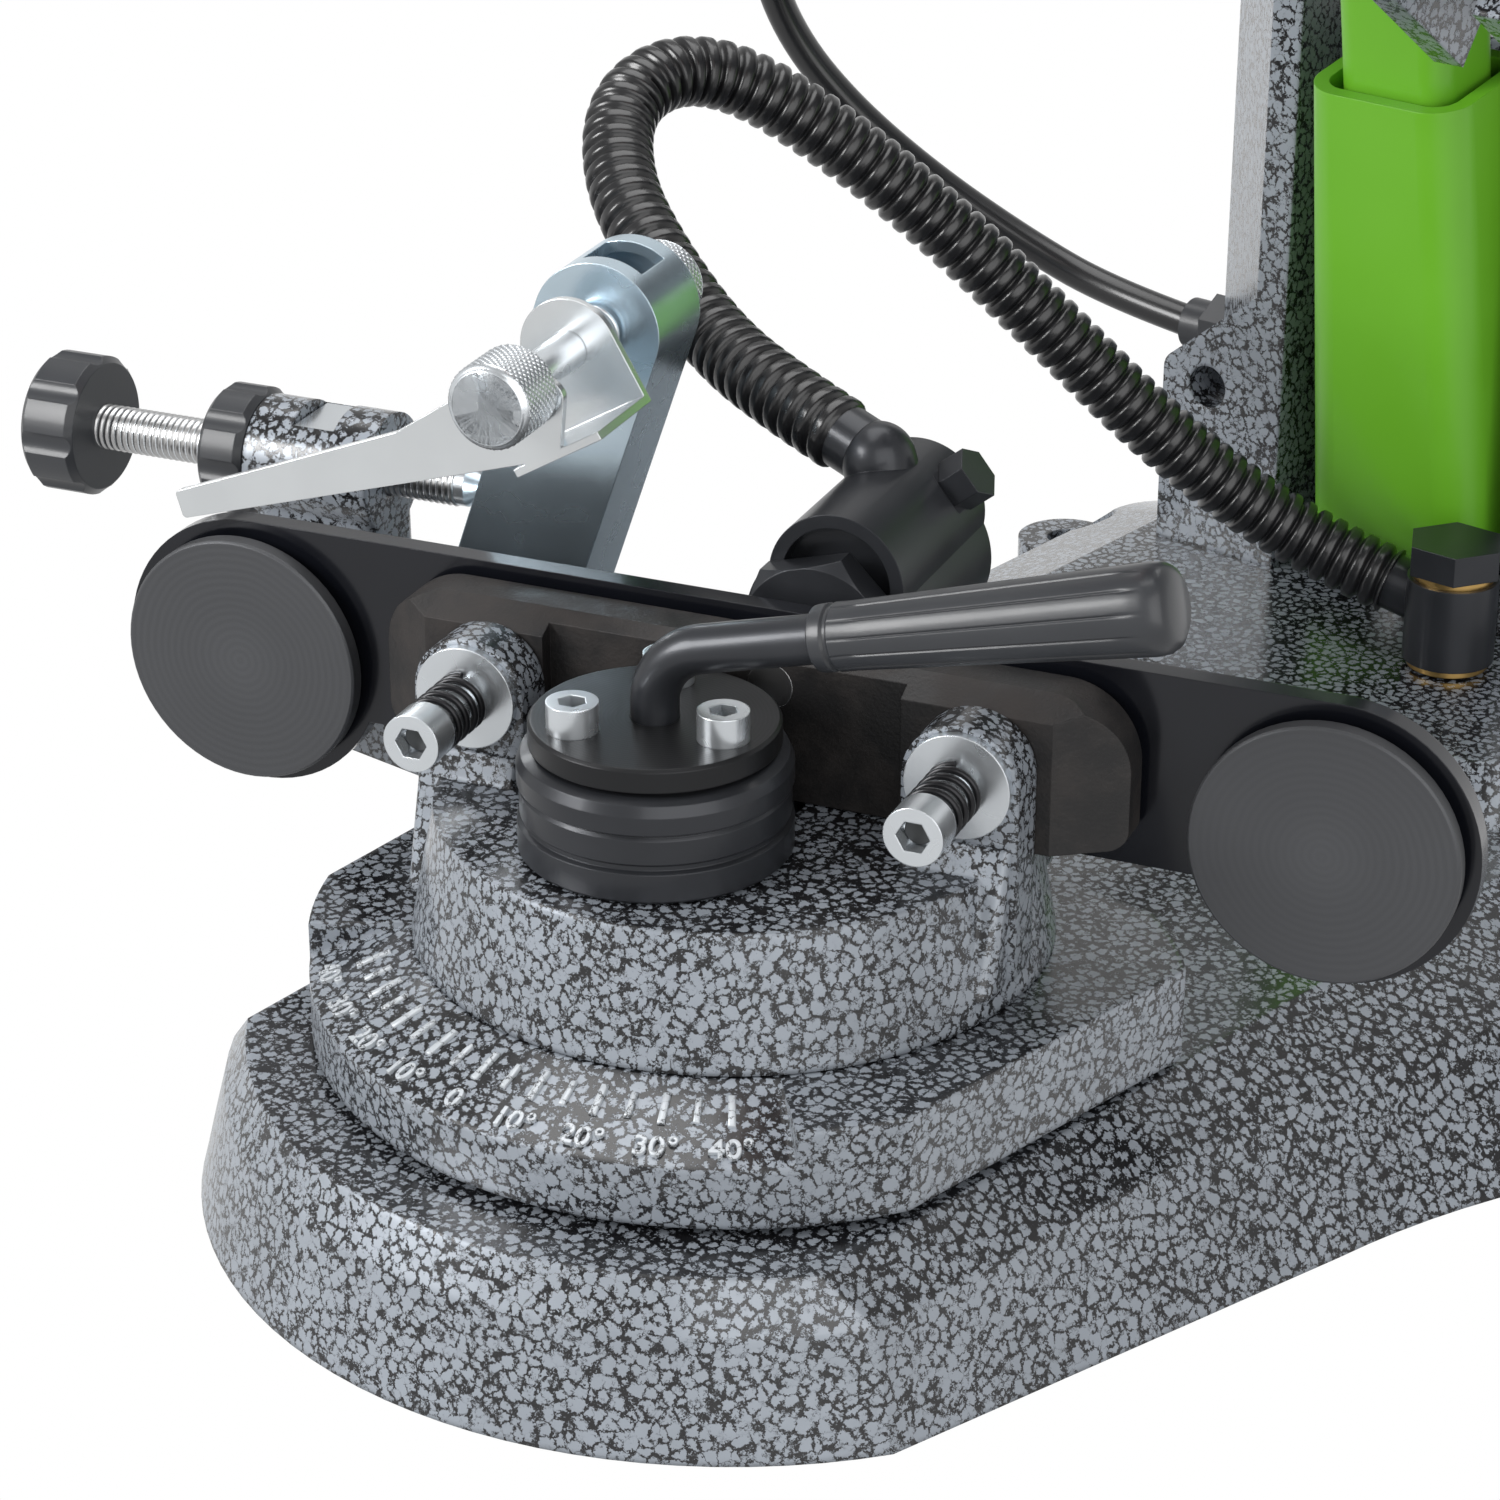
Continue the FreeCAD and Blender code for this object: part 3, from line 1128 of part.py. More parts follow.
def lever_way():
    """Direction of the lever beyond its knee."""
    rise = math.radians(LEVER_RISE)
    return Vector(math.cos(rise), 0, math.sin(rise))


def lever_knee():
    """Point where the lever's two straight runs would cross."""
    return Vector(DRUM_U, DRUM_V, LEVER_KNEE_Z)


def lever_rod():
    """Bent rod welded in the cam plate."""
    knee = lever_knee()
    reach = LEVER_KNEE_RADIUS * math.tan(math.radians((90 - LEVER_RISE) / 2))
    foot = Vector(DRUM_U, DRUM_V, CAM_PLATE_Z)
    enter = knee - Z_AXIS * reach
    leave = knee + lever_way() * reach
    edges = [Part.LineSegment(foot, enter).toShape(), corner_arc(enter, knee, leave),
             Part.LineSegment(leave, knee + lever_way() * LEVER_REACH).toShape()]
    section = Part.Wire(Part.makeCircle(LEVER_RADIUS, foot, Z_AXIS))
    return swivel(Part.Wire(edges).makePipeShell([section], True, False))


def lever_grip():
    """Tapered moulded grip pushed over the rod."""
    start = lever_knee() + lever_way() * GRIP_START
    socket = LEVER_REACH - GRIP_START
    profile = [(0, socket), (LEVER_RADIUS, socket), (LEVER_RADIUS, 0), (GRIP_NECK_RADIUS - 0.8, 0),
               (GRIP_NECK_RADIUS, 1.5), (GRIP_END_RADIUS, GRIP_LENGTH - GRIP_ROUND),
               (GRIP_END_RADIUS - 0.3 * GRIP_ROUND, GRIP_LENGTH - 0.3 * GRIP_ROUND),
               (GRIP_END_RADIUS - GRIP_ROUND, GRIP_LENGTH), (0, GRIP_LENGTH)]
    return swivel(turned(profile, start, lever_way()))


# Chain stop

def lean_stop(shape):
    """Place a piece drawn upright over the stop's pivot at the origin."""
    shape.rotate(Vector(0, 0, 0), Y_AXIS, STOP_LEAN)
    shape.translate(Vector(STOP_PIVOT_U, 0, STOP_PIVOT_Z))
    return swivel(shape)


def stop_strip(half, low, v):
    """Strip outline around the pivot and the shaft, round at both ends."""
    trace = Trace(front(v), (-half, low))
    trace.arc((0, low - half), (half, low)).line((half, STOP_LENGTH))
    trace.arc((0, STOP_LENGTH + half), (-half, STOP_LENGTH))
    return trace.close()


def stop_arm():
    """Folded sheet channel with a closed head, open at the back below."""
    body = prism(stop_strip(STOP_HALF, 0, STOP_FRONT_V), Y_AXIS * STOP_DEPTH)
    inner = STOP_HALF - STOP_SHEET
    hollow = prism(stop_strip(inner, 0, STOP_FRONT_V + STOP_SHEET), Y_AXIS * (STOP_DEPTH - 2 * STOP_SHEET))
    rear = block(Vector(-inner, STOP_BACK_V - 2 * STOP_SHEET, -STOP_HALF - 1),
                 Vector(inner, STOP_BACK_V + 1, STOP_LENGTH - STOP_FLAP))
    foot = block(Vector(-STOP_HALF - 1, STOP_FRONT_V + STOP_SHEET, -STOP_HALF - 1),
                 Vector(STOP_HALF + 1, STOP_BACK_V + 1, STOP_PIN_RADIUS))
    window = block(Vector(-0.75 * inner, STOP_FRONT_V + 2 * STOP_SHEET, STOP_LENGTH + 0.35 * inner),
                   Vector(0.35 * inner, STOP_BACK_V - 2 * STOP_SHEET, STOP_LENGTH + STOP_HALF + 1))
    shaft = rod(SHAFT_RADIUS + RUN, Vector(0, STOP_FRONT_V, STOP_LENGTH), Vector(0, STOP_BACK_V, STOP_LENGTH))
    pin = rod(STOP_PIN_RADIUS + RUN, Vector(0, STOP_FRONT_V, 0), Vector(0, STOP_BACK_V, 0))
    return lean_stop(less(body, [hollow, rear, foot, window, shaft, pin]))


def stop_pin():
    """Pin through the casting's lugs on which the stop swings."""
    start = Vector(STOP_PIVOT_U, STOP_FRONT_V - GAP - STOP_LUG_THICK, STOP_PIVOT_Z)
    end = Vector(STOP_PIVOT_U, STOP_BACK_V + GAP + STOP_LUG_THICK, STOP_PIVOT_Z)
    return swivel(rod(STOP_PIN_RADIUS, start, end))


def shaft_at(v):
    """Point on the stop shaft's axis at depth v."""
    return Vector(STOP_SHAFT_U, v, STOP_SHAFT_Z)


def stop_knob():
    """Front knob and its shaft, turned from one bar."""
    end = STOP_BACK_V + STOP_WASHER_THICK + THUMB_NUT_LENGTH + 1
    profile = [(0, 0), (KNOB_RADIUS - KNOB_BEVEL, 0), (KNOB_RADIUS, KNOB_BEVEL),
               (KNOB_RADIUS, KNOB_LENGTH - KNOB_BEVEL), (KNOB_RADIUS - KNOB_BEVEL, KNOB_LENGTH),
               (SHAFT_RADIUS, KNOB_LENGTH), (SHAFT_RADIUS, end - KNOB_FACE_V), (0, end - KNOB_FACE_V)]
    return swivel(turned(profile, shaft_at(KNOB_FACE_V), Y_AXIS))


def chain_pawl():
    """Folded sheet pawl: front plate with its blade, floor and rear ear."""
    way = Vector(BLADE_TIP_U - BLADE_KNEE_U, 0, BLADE_TIP_Z - BLADE_KNEE_Z)
    across = Vector(-way.z, 0, way.x)
    across.normalize()
    across = across * -1
    tip_top = Vector(BLADE_TIP_U, 0, BLADE_TIP_Z) + across * BLADE_TIP_WIDTH
    knee_top = Vector(BLADE_KNEE_U, 0, BLADE_KNEE_Z) + across * BLADE_WIDTH
    top_z = STOP_SHAFT_Z + 0.6 * PAWL_EAR_RADIUS
    outline = rounded([(PAWL_FOLD_U, PAWL_FOLD_Z, 0), (STOP_SHAFT_U + 0.9 * PAWL_EAR_RADIUS, STOP_SHAFT_Z, 3),
                       (STOP_SHAFT_U, top_z, 3), (STOP_SHAFT_U - PAWL_EAR_RADIUS, STOP_SHAFT_Z - 2, 4),
                       (knee_top.x, knee_top.z, 2), (tip_top.x, tip_top.z, 0.8),
                       (BLADE_TIP_U, BLADE_TIP_Z, 0.8), (BLADE_KNEE_U, BLADE_KNEE_Z, 2)],
                      front(PAWL_FRONT_V))
    plate = prism(outline, Y_AXIS * PAWL_SHEET)
    ear_way = Vector(PAWL_FOLD_U - STOP_SHAFT_U, 0, PAWL_FOLD_Z - STOP_SHAFT_Z)
    ear_reach = ear_way.Length
    turn = math.degrees(math.atan2(-ear_way.x, -ear_way.z))
    trace = Trace(front(PAWL_EAR_V), (-PAWL_EAR_RADIUS, 0))
    trace.line((-PAWL_EAR_RADIUS, -ear_reach)).line((PAWL_EAR_RADIUS, -ear_reach)).line((PAWL_EAR_RADIUS, 0))
    trace.arc((0, PAWL_EAR_RADIUS), (-PAWL_EAR_RADIUS, 0))
    ear = prism(trace.close(), Y_AXIS * PAWL_SHEET)
    floor = block(Vector(-PAWL_EAR_RADIUS, PAWL_FRONT_V, -ear_reach),
                  Vector(PAWL_EAR_RADIUS, PAWL_EAR_V + PAWL_SHEET, -ear_reach + PAWL_SHEET))
    bracket = join([ear, floor])
    bracket.rotate(Vector(0, 0, 0), Y_AXIS, turn)
    bracket.translate(Vector(STOP_SHAFT_U, 0, STOP_SHAFT_Z))
    hole = rod(SHAFT_RADIUS + RUN, shaft_at(PAWL_FRONT_V - 1), shaft_at(PAWL_EAR_V + 2 * PAWL_SHEET))
    return swivel(less(join([plate, bracket]), [hole]))


def pawl_spring():
    """Small spring on the shaft between the pawl's ear and the arm."""
    start = PAWL_EAR_V + PAWL_SHEET + GAP
    length = STOP_FRONT_V - GAP - start
    spring = coil(PAWL_SPRING_MEAN_RADIUS, PAWL_SPRING_WIRE_RADIUS, length, PAWL_SPRING_TURNS, "pawl spring")
    spring.rotate(Vector(0, 0, 0), X_AXIS, -90)
    spring.translate(shaft_at(start))
    return swivel(spring)


def stop_washer():
    """Friction washer behind the stop arm."""
    return swivel(ring(STOP_WASHER_RADIUS, SHAFT_RADIUS + RUN, shaft_at(STOP_BACK_V),
                       shaft_at(STOP_BACK_V + STOP_WASHER_THICK)))


def thumb_nut():
    """Knurled nut that locks the stop shaft."""
    start = STOP_BACK_V + STOP_WASHER_THICK + GAP
    profile = [(SHAFT_RADIUS + RUN, 0), (THUMB_NUT_RADIUS - KNOB_BEVEL, 0), (THUMB_NUT_RADIUS, KNOB_BEVEL),
               (THUMB_NUT_RADIUS, THUMB_NUT_LENGTH - KNOB_BEVEL),
               (THUMB_NUT_RADIUS - KNOB_BEVEL, THUMB_NUT_LENGTH), (SHAFT_RADIUS + RUN, THUMB_NUT_LENGTH)]
    return swivel(turned(profile, shaft_at(start), Y_AXIS))


# Adjuster

def adjuster_at(u):
    """Point on the adjuster's axis."""
    return Vector(u, ADJUSTER_V, ADJUSTER_Z)


def adjuster_tip_u():
    """Where the adjuster's point meets the side of the stop arm."""
    lean = math.radians(STOP_LEAN)
    rise = ADJUSTER_Z - STOP_PIVOT_Z
    return STOP_PIVOT_U + rise * math.tan(lean) - STOP_HALF / math.cos(lean) - ADJUSTER_TIP_PLAY


def adjuster_screw():
    """Threaded rod that sets the stop arm."""
    length = adjuster_tip_u() - ADJUSTER_TAIL_U
    cone = ADJUSTER_RADIUS - ADJUSTER_TIP_RADIUS
    profile = [(0, 0), (ADJUSTER_RADIUS, 0), (ADJUSTER_RADIUS, length - 1.4 * cone),
               (ADJUSTER_TIP_RADIUS, length), (0, length)]
    return swivel(turned(profile, adjuster_at(ADJUSTER_TAIL_U), X_AXIS))


def fluted_knob(radius, length, bore, left):
    """Round plastic knob with scalloped edge."""
    bevel = 1.2
    profile = [(bore, 0), (radius - bevel, 0), (radius, bevel), (radius, length - bevel),
               (radius - bevel, length), (bore, length)]
    knob = turned(profile, adjuster_at(left), X_AXIS)
    cuts = []
    for index in range(KNOB_FLUTES):
        angle = 2 * math.pi * index / KNOB_FLUTES
        reach = radius + 0.72 * KNOB_FLUTE_RADIUS
        spot = adjuster_at(left) + Vector(0, reach * math.cos(angle), reach * math.sin(angle))
        cuts.append(rod(KNOB_FLUTE_RADIUS, spot, spot + X_AXIS * length))
    return swivel(less(knob, cuts))


def adjuster_knob():
    """Knob at the end of the adjuster."""
    return fluted_knob(ADJUSTER_KNOB_RADIUS, ADJUSTER_KNOB_LENGTH, ADJUSTER_RADIUS + RUN, ADJUSTER_TAIL_U)


def lock_knob():
    """Knob that locks the adjuster against its boss."""
    left = ADJUSTER_BOSS_LEFT - GAP - LOCK_KNOB_LENGTH
    return fluted_knob(LOCK_KNOB_RADIUS, LOCK_KNOB_LENGTH, ADJUSTER_RADIUS + RUN, left)


def captive_nut():
    """Nut held in the slot of the adjuster's boss."""
    left = captive_slot_left() + 0.5 * (ADJUSTER_SLOT_LENGTH - CAPTIVE_NUT_LENGTH)
    nut = block(Vector(left, ADJUSTER_V - CAPTIVE_NUT_FLATS / 2, ADJUSTER_Z - CAPTIVE_NUT_FLATS / 2),
                Vector(left + CAPTIVE_NUT_LENGTH, ADJUSTER_V + CAPTIVE_NUT_FLATS / 2,
                       ADJUSTER_Z + 0.8 * ADJUSTER_BOSS_RADIUS))
    return swivel(nut.cut(rod(ADJUSTER_RADIUS + RUN, adjuster_at(left), adjuster_at(left + CAPTIVE_NUT_LENGTH))))


# Hydraulic clamp

def slave_at(v):
    """Point on the clamp cylinder's axis."""
    return Vector(SLAVE_U, v, SLAVE_Z)


def ferrule_way():
    """Direction in which the hose leaves the clamp cylinder, in the vise's directions."""
    way = hose_points()[1] - hose_points()[0]
    way = FreeCAD.Rotation(Z_AXIS, -SWIVEL_REST).multVec(way)
    way.normalize()
    return way


def ferrule_end():
    """Where the hose meets its front ferrule, in the vise's directions."""
    return FreeCAD.Rotation(Z_AXIS, -SWIVEL_REST).multVec(hose_points()[0])


def gallery_at(v):
    """Point on the axis of the oil gallery above the cylinder."""
    return Vector(GALLERY_U, v, GALLERY_Z)


def slave_bores():
    """Hollow of the clamp cylinder: neck round the rod and bore of the piston."""
    neck = slave_at(SLAVE_FRONT_V + SLAVE_NECK)
    return [rod(SLAVE_ROD_RADIUS + RUN, slave_at(SLAVE_FRONT_V), neck),
            rod(SLAVE_BORE_RADIUS, neck, slave_at(SLAVE_BACK_V - SLAVE_WALL))]


def slave_cylinder():
    """Clamp cylinder with the oil gallery that its hose enters."""
    end = ferrule_end()
    elbow = end - ferrule_way() * FERRULE_LENGTH
    body = join([rod(SLAVE_RADIUS, slave_at(SLAVE_FRONT_V), slave_at(SLAVE_BACK_V)),
                 rod(GALLERY_RADIUS, gallery_at(SLAVE_FRONT_V), gallery_at(SLAVE_BACK_V)),
                 Part.makeSphere(ELBOW_RADIUS, elbow), rod(ELBOW_RADIUS, elbow, gallery_at(elbow.y))])
    rim = rod(GALLERY_MOUTH_RADIUS, gallery_at(SLAVE_FRONT_V), gallery_at(SLAVE_FRONT_V + GALLERY_MOUTH_DEPTH))
    stub = rod(FERRULE_RADIUS, elbow, end)
    mouth = rod(HOSE_RADIUS + HOSE_PLAY, end, end + ferrule_way() * FERRULE_LENGTH)
    seat = bleed_seat()
    bleed = rod(BLEED_RADIUS / 2, seat - bleed_way() * 4, seat)
    spot_face = rod(1.3 * BLEED_RADIUS, seat, seat + bleed_way() * 6)
    return swivel(less(body, slave_bores() + [rim, stub, mouth, bleed, spot_face]))


def bleed_way():
    """Direction of the bleed screw, out of the gallery's right flank."""
    tilt = math.radians(BLEED_TILT)
    return Vector(math.cos(tilt), 0, math.sin(tilt))


def bleed_seat():
    """Where the bleed screw sits, a little below the gallery's round flank."""
    return gallery_at(SLAVE_BACK_V - 1.6 * BLEED_RADIUS) + bleed_way() * (GALLERY_RADIUS - 0.7)


def bleed_screw():
    """Hexagon screw that closes the bleed port."""
    seat = bleed_seat()
    shape = join([rod(BLEED_RADIUS / 2, seat - bleed_way() * 4, seat + bleed_way()),
                  hexagon(1.9 * BLEED_RADIUS, seat, seat + bleed_way() * BLEED_LENGTH * 0.6)])
    return swivel(shape)


def gland_nut():
    """Large hexagon nut that closes the front of the cylinder round the rod."""
    nut = hexagon(GLAND_FLATS, slave_at(GLAND_FRONT_V), slave_at(SLAVE_FRONT_V), 0)
    limit = turned([(0, 0), (0.5 * GLAND_FLATS, 0), (0.6 * GLAND_FLATS, 0.1 * GLAND_FLATS),
                    (0.6 * GLAND_FLATS, GLAND_LENGTH), (0, GLAND_LENGTH)], slave_at(GLAND_FRONT_V), Y_AXIS)
    nut = nut.common(limit)
    nut.rotate(slave_at(GLAND_FRONT_V), Y_AXIS, GLAND_TURN)
    return swivel(nut.cut(rod(SLAVE_ROD_RADIUS + RUN, slave_at(GLAND_FRONT_V), slave_at(SLAVE_FRONT_V))))


def front_ferrule():
    """Crimped ferrule between the gallery and the hose."""
    end = ferrule_end()
    ferrule = rod(FERRULE_RADIUS, end - ferrule_way() * FERRULE_LENGTH, end)
    return swivel(less(ferrule, slave_bores()))


def hose_points():
    """Route of the hose from the clamp cylinder over and down to the pedestal."""
    return [Vector(-19.9, 53.5, 113.1), Vector(-33.0, 54.0, 116.6), Vector(-51.4, 57.5, 121.7),
            Vector(-73.0, 65.5, 129.9), Vector(-91.2, 74.6, 139.2), Vector(-102.8, 87.8, 148.8),
            Vector(-102.9, 102.4, 153.3), Vector(-96.2, 114.9, 150.3), Vector(-83.3, 127.2, 138.7),
            Vector(-67.2, 139.6, 122.4), Vector(-48.8, 151.3, 102.3), Vector(-31.0, 162.4, 82.0),
            Vector(-15.0, 174.0, 66.0), Vector(0.0, 183.0, 56.0), Vector(13.0, BANJO_Y, BANJO_STUB_Z)]


def hydraulic_hose():
    """Corrugated hose between the clamp cylinder and the pedestal."""
    return ribbed_tube(hose_points(), "hydraulic hose")


def banjo_at(z):
    """Point on the banjo bolt's axis."""
    return Vector(BANJO_X, BANJO_Y, z)


def banjo_fitting():
    """Ring fitting on the pedestal with the hose's rear stub."""
    points = hose_points()
    way = points[-1] - points[-2]
    way.normalize()
    ring_body = rod(BANJO_RADIUS, banjo_at(BANJO_LOW_Z), banjo_at(BANJO_TOP_Z))
    stub = rod(BANJO_STUB_RADIUS, points[-1], points[-1] + way * (banjo_at(BANJO_STUB_Z) - points[-1]).Length)
    return less(join([ring_body, stub]), [rod(BANJO_BOLT_RADIUS, banjo_at(BANJO_LOW_Z), banjo_at(BANJO_TOP_Z))])


def banjo_washers():
    """Soft sealing washers above and below the ring fitting."""
    washers = []
    for z in (BANJO_LOW_Z - BANJO_WASHER_THICK, BANJO_TOP_Z):
        washers.append(ring(BANJO_RADIUS - 1, BANJO_BOLT_RADIUS, banjo_at(z), banjo_at(z + BANJO_WASHER_THICK)))
    return Part.makeCompound(washers)


def banjo_bolt():
    """Hollow bolt that holds the ring fitting."""
    under = BANJO_TOP_Z + BANJO_WASHER_THICK
    return join([rod(BANJO_BOLT_RADIUS, banjo_at(banjo_root_z()), banjo_at(under)),
                 hexagon(BANJO_BOLT_FLATS, banjo_at(under), banjo_at(under + BANJO_HEAD_HEIGHT))])


# Column and strut

def column():
    """Upright casting, open at the front for the strut and forked at the top for the arm."""
    trace = Trace(plan(PEDESTAL_Z), (-COLUMN_FACE_HALF, COLUMN_FRONT_Y))
    trace.line((-COLUMN_HALF, COLUMN_BEVEL_Y)).line((-COLUMN_HALF, COLUMN_REAR_Y))
    trace.line((COLUMN_HALF, COLUMN_REAR_Y)).line((COLUMN_HALF, COLUMN_BEVEL_Y))
    trace.line((COLUMN_FACE_HALF, COLUMN_FRONT_Y)).line((POCKET_HALF, COLUMN_FRONT_Y))
    trace.line((POCKET_HALF, POCKET_REAR_Y)).line((-POCKET_HALF, POCKET_REAR_Y))
    trace.line((-POCKET_HALF, COLUMN_FRONT_Y))
    top = HINGE_Z + HINGE_CHEEK_RADIUS
    body = prism(trace.close(), Z_AXIS * (top - PEDESTAL_Z))
    profile = rounded([(COLUMN_FRONT_Y, PEDESTAL_Z, 0), (COLUMN_REAR_Y, PEDESTAL_Z, 0),
                       (COLUMN_REAR_Y, top, HINGE_CHEEK_RADIUS), (COLUMN_FRONT_Y, top, HINGE_CHEEK_RADIUS)],
                      side(-COLUMN_HALF - 1))
    body = body.common(prism(profile, X_AXIS * (2 * COLUMN_HALF + 2)))
    pieces = [body]
    for sign in (-1, 1):
        inner = sign * POCKET_HALF
        outer = sign * EAR_HALF
        ear = rounded([(inner, PEDESTAL_Z, 0), (outer, PEDESTAL_Z, 0), (outer, EAR_TOP_Z - 10, 4),
                       (sign * COLUMN_FACE_HALF, EAR_TOP_Z + 8, 4), (inner, EAR_TOP_Z + 8, 0)],
                      front(COLUMN_FRONT_Y))
        pieces.append(prism(ear, Y_AXIS * EAR_DEPTH))
    body = join(pieces)
    fork = block(Vector(-POCKET_HALF, COLUMN_FRONT_Y - 1, HINGE_Z - BARREL_RADIUS - 10),
                 Vector(POCKET_HALF, COLUMN_REAR_Y + 1, top + 1))
    cuts = [fork, rod(HINGE_PIN_RADIUS, Vector(-COLUMN_HALF, HINGE_Y, HINGE_Z),
                      Vector(COLUMN_HALF, HINGE_Y, HINGE_Z))]
    for sign in (-1, 1):
        hole = Vector(sign * EAR_HOLE_X, COLUMN_FRONT_Y, EAR_HOLE_Z)
        cuts.append(rod(EAR_HOLE_RADIUS, hole, hole + Y_AXIS * EAR_DEPTH))
    for spot in column_bolt_places():
        low = spot + Z_AXIS * PEDESTAL_Z
        cuts.append(rod(COLUMN_BOLT_RADIUS, low, low + Z_AXIS * COLUMN_BOLT_GRIP))
    return less(body, cuts)


def column_screws():
    """Socket screws from under the base into the column."""
    screws = []
    low = COLUMN_BOLT_RECESS - COLUMN_BOLT_HEAD_HEIGHT
    length = PEDESTAL_Z + COLUMN_BOLT_GRIP - COLUMN_BOLT_RECESS
    for spot in column_bolt_places():
        screws.append(cap_screw(COLUMN_BOLT_HEAD_RADIUS, COLUMN_BOLT_HEAD_HEIGHT, COLUMN_BOLT_RADIUS, length,
                                spot + Z_AXIS * low, Z_AXIS))
    return Part.makeCompound(screws)


def hinge_pin():
    """Pin through the column's fork on which the arm swings."""
    reach = COLUMN_HALF + HINGE_PIN_PROUD
    return rod(HINGE_PIN_RADIUS, Vector(-reach, HINGE_Y, HINGE_Z), Vector(reach, HINGE_Y, HINGE_Z))


def cover_section(width, depth, corner, z):
    """Rounded rectangle of a strut cover at height z."""
    return rectangle(-width / 2, width / 2, -depth / 2, depth / 2, corner, plan(z))


def outer_cover():
    """Fixed lower cover of the strut, an open tapered sleeve with two bosses to the column."""
    skin = Part.makeLoft([cover_section(OUTER_LOW_WIDTH, OUTER_LOW_DEPTH, OUTER_CORNER, OUTER_COVER_LOW),
                          cover_section(OUTER_TOP_WIDTH, OUTER_TOP_DEPTH, OUTER_CORNER, OUTER_COVER_HIGH)], True, True)
    inset = 2 * OUTER_WALL
    hollow = Part.makeLoft([cover_section(OUTER_LOW_WIDTH - inset, OUTER_LOW_DEPTH - inset,
                                          OUTER_CORNER - OUTER_WALL, OUTER_COVER_LOW),
                            cover_section(OUTER_TOP_WIDTH - inset, OUTER_TOP_DEPTH - inset,
                                          OUTER_CORNER - OUTER_WALL, OUTER_COVER_HIGH)], True, True)
    skin = strut(skin)
    hollow = strut(hollow)
    bosses = []
    for height in (COVER_BOSS_LOW, COVER_BOSS_HIGH):
        lean = math.radians(STRUT_LEAN)
        start = Vector(STRUT_X, STRUT_Y - height * math.sin(lean), PEDESTAL_Z + height * math.cos(lean))
        bosses.append(rod(COVER_BOSS_RADIUS, start, Vector(STRUT_X, POCKET_REAR_Y, start.z)))
    return less(join([skin] + bosses), [hollow])


def inner_cover():
    """Sliding upper cover of the strut, closed at its top."""
    skin = prism(cover_section(INNER_WIDTH, INNER_DEPTH, INNER_CORNER, INNER_COVER_LOW),
                 Z_AXIS * (INNER_COVER_HIGH - INNER_COVER_LOW))
    inset = 2 * INNER_WALL
    hollow = prism(cover_section(INNER_WIDTH - inset, INNER_DEPTH - inset, INNER_CORNER - INNER_WALL,
                                 INNER_COVER_LOW),
                   Z_AXIS * (INNER_COVER_HIGH - INNER_COVER_LOW - 1.5 * INNER_WALL))
    return strut(skin.cut(hollow))


def push_rod():
    """Rod under the inner cover's cap that drives the master cylinder."""
    return strut(rod(PUSH_ROD_RADIUS, Z_AXIS * PUSH_ROD_LOW, Z_AXIS * (INNER_COVER_HIGH - 1.5 * INNER_WALL)))


def master_cylinder():
    """Master cylinder sunk in the pedestal at the strut's foot."""
    body = rod(MASTER_RADIUS, Z_AXIS * MASTER_LOW, Z_AXIS * MASTER_HIGH)
    return strut(body.cut(rod(PUSH_ROD_RADIUS + RUN, Z_AXIS * (MASTER_LOW + MASTER_FLOOR), Z_AXIS * MASTER_HIGH)))


def return_spring():
    """Spring round the push rod that lifts the head."""
    start = MASTER_HIGH + GAP
    length = INNER_COVER_HIGH - 1.5 * INNER_WALL - GAP - start
    spring = coil(RETURN_SPRING_MEAN_RADIUS, RETURN_SPRING_WIRE_RADIUS, length, RETURN_SPRING_TURNS,
                  "return spring")
    spring.translate(Z_AXIS * start)
    return strut(spring)


# Cable

def gland(base, way):
    """Cable gland with its nose, standing on base and pointing along way."""
    nut_end = base + way * GLAND_NUT_LENGTH
    return join([hexagon(1.7 * GLAND_RADIUS, base, nut_end),
                 rod(GLAND_NOSE_RADIUS, nut_end, nut_end + way * GLAND_NOSE_LENGTH)])


def column_gland():
    """Gland on the column's left side."""
    return gland(Vector(-COLUMN_HALF, COLUMN_GLAND_Y, COLUMN_GLAND_Z), -X_AXIS)


def switch_gland_seat():
    """Where the cable enters the switch box, with the arm level."""
    return Vector(SWITCH_LEFT_X, SWITCH_FRONT_Y + 0.5 * SWITCH_LENGTH, HINGE_Z - 0.28 * SWITCH_HEIGHT)


def motor_cable():
    """Lead that hangs in a loop from the column to the head."""
    reach = GLAND_NUT_LENGTH + GLAND_NOSE_LENGTH + CABLE_END_PLAY
    lean = FreeCAD.Rotation(X_AXIS, -HEAD_RAISE)
    end = HINGE_POINT + lean.multVec(switch_gland_seat() - HINGE_POINT) - X_AXIS * reach
    points = [Vector(-COLUMN_HALF - reach, COLUMN_GLAND_Y, COLUMN_GLAND_Z), Vector(-94.0, 238.0, 75.5),
              Vector(-113.0, 232.0, 84.5), Vector(-131.4, 223.0, 97.2), Vector(-146.2, 212.5, 112.5),
              Vector(-155.9, 204.0, 128.4), Vector(-159.6, 198.0, 146.0), Vector(-156.0, 194.0, 166.0),
              Vector(-143.0, 192.0, 184.0), Vector(-123.0, end.y + 1.5, 197.0),
              Vector(-98.0, end.y + 0.5, end.z + 1.0), end]
    return plain_tube(points, CABLE_RADIUS, "motor cable")


# Grinding head, drawn with the arm level

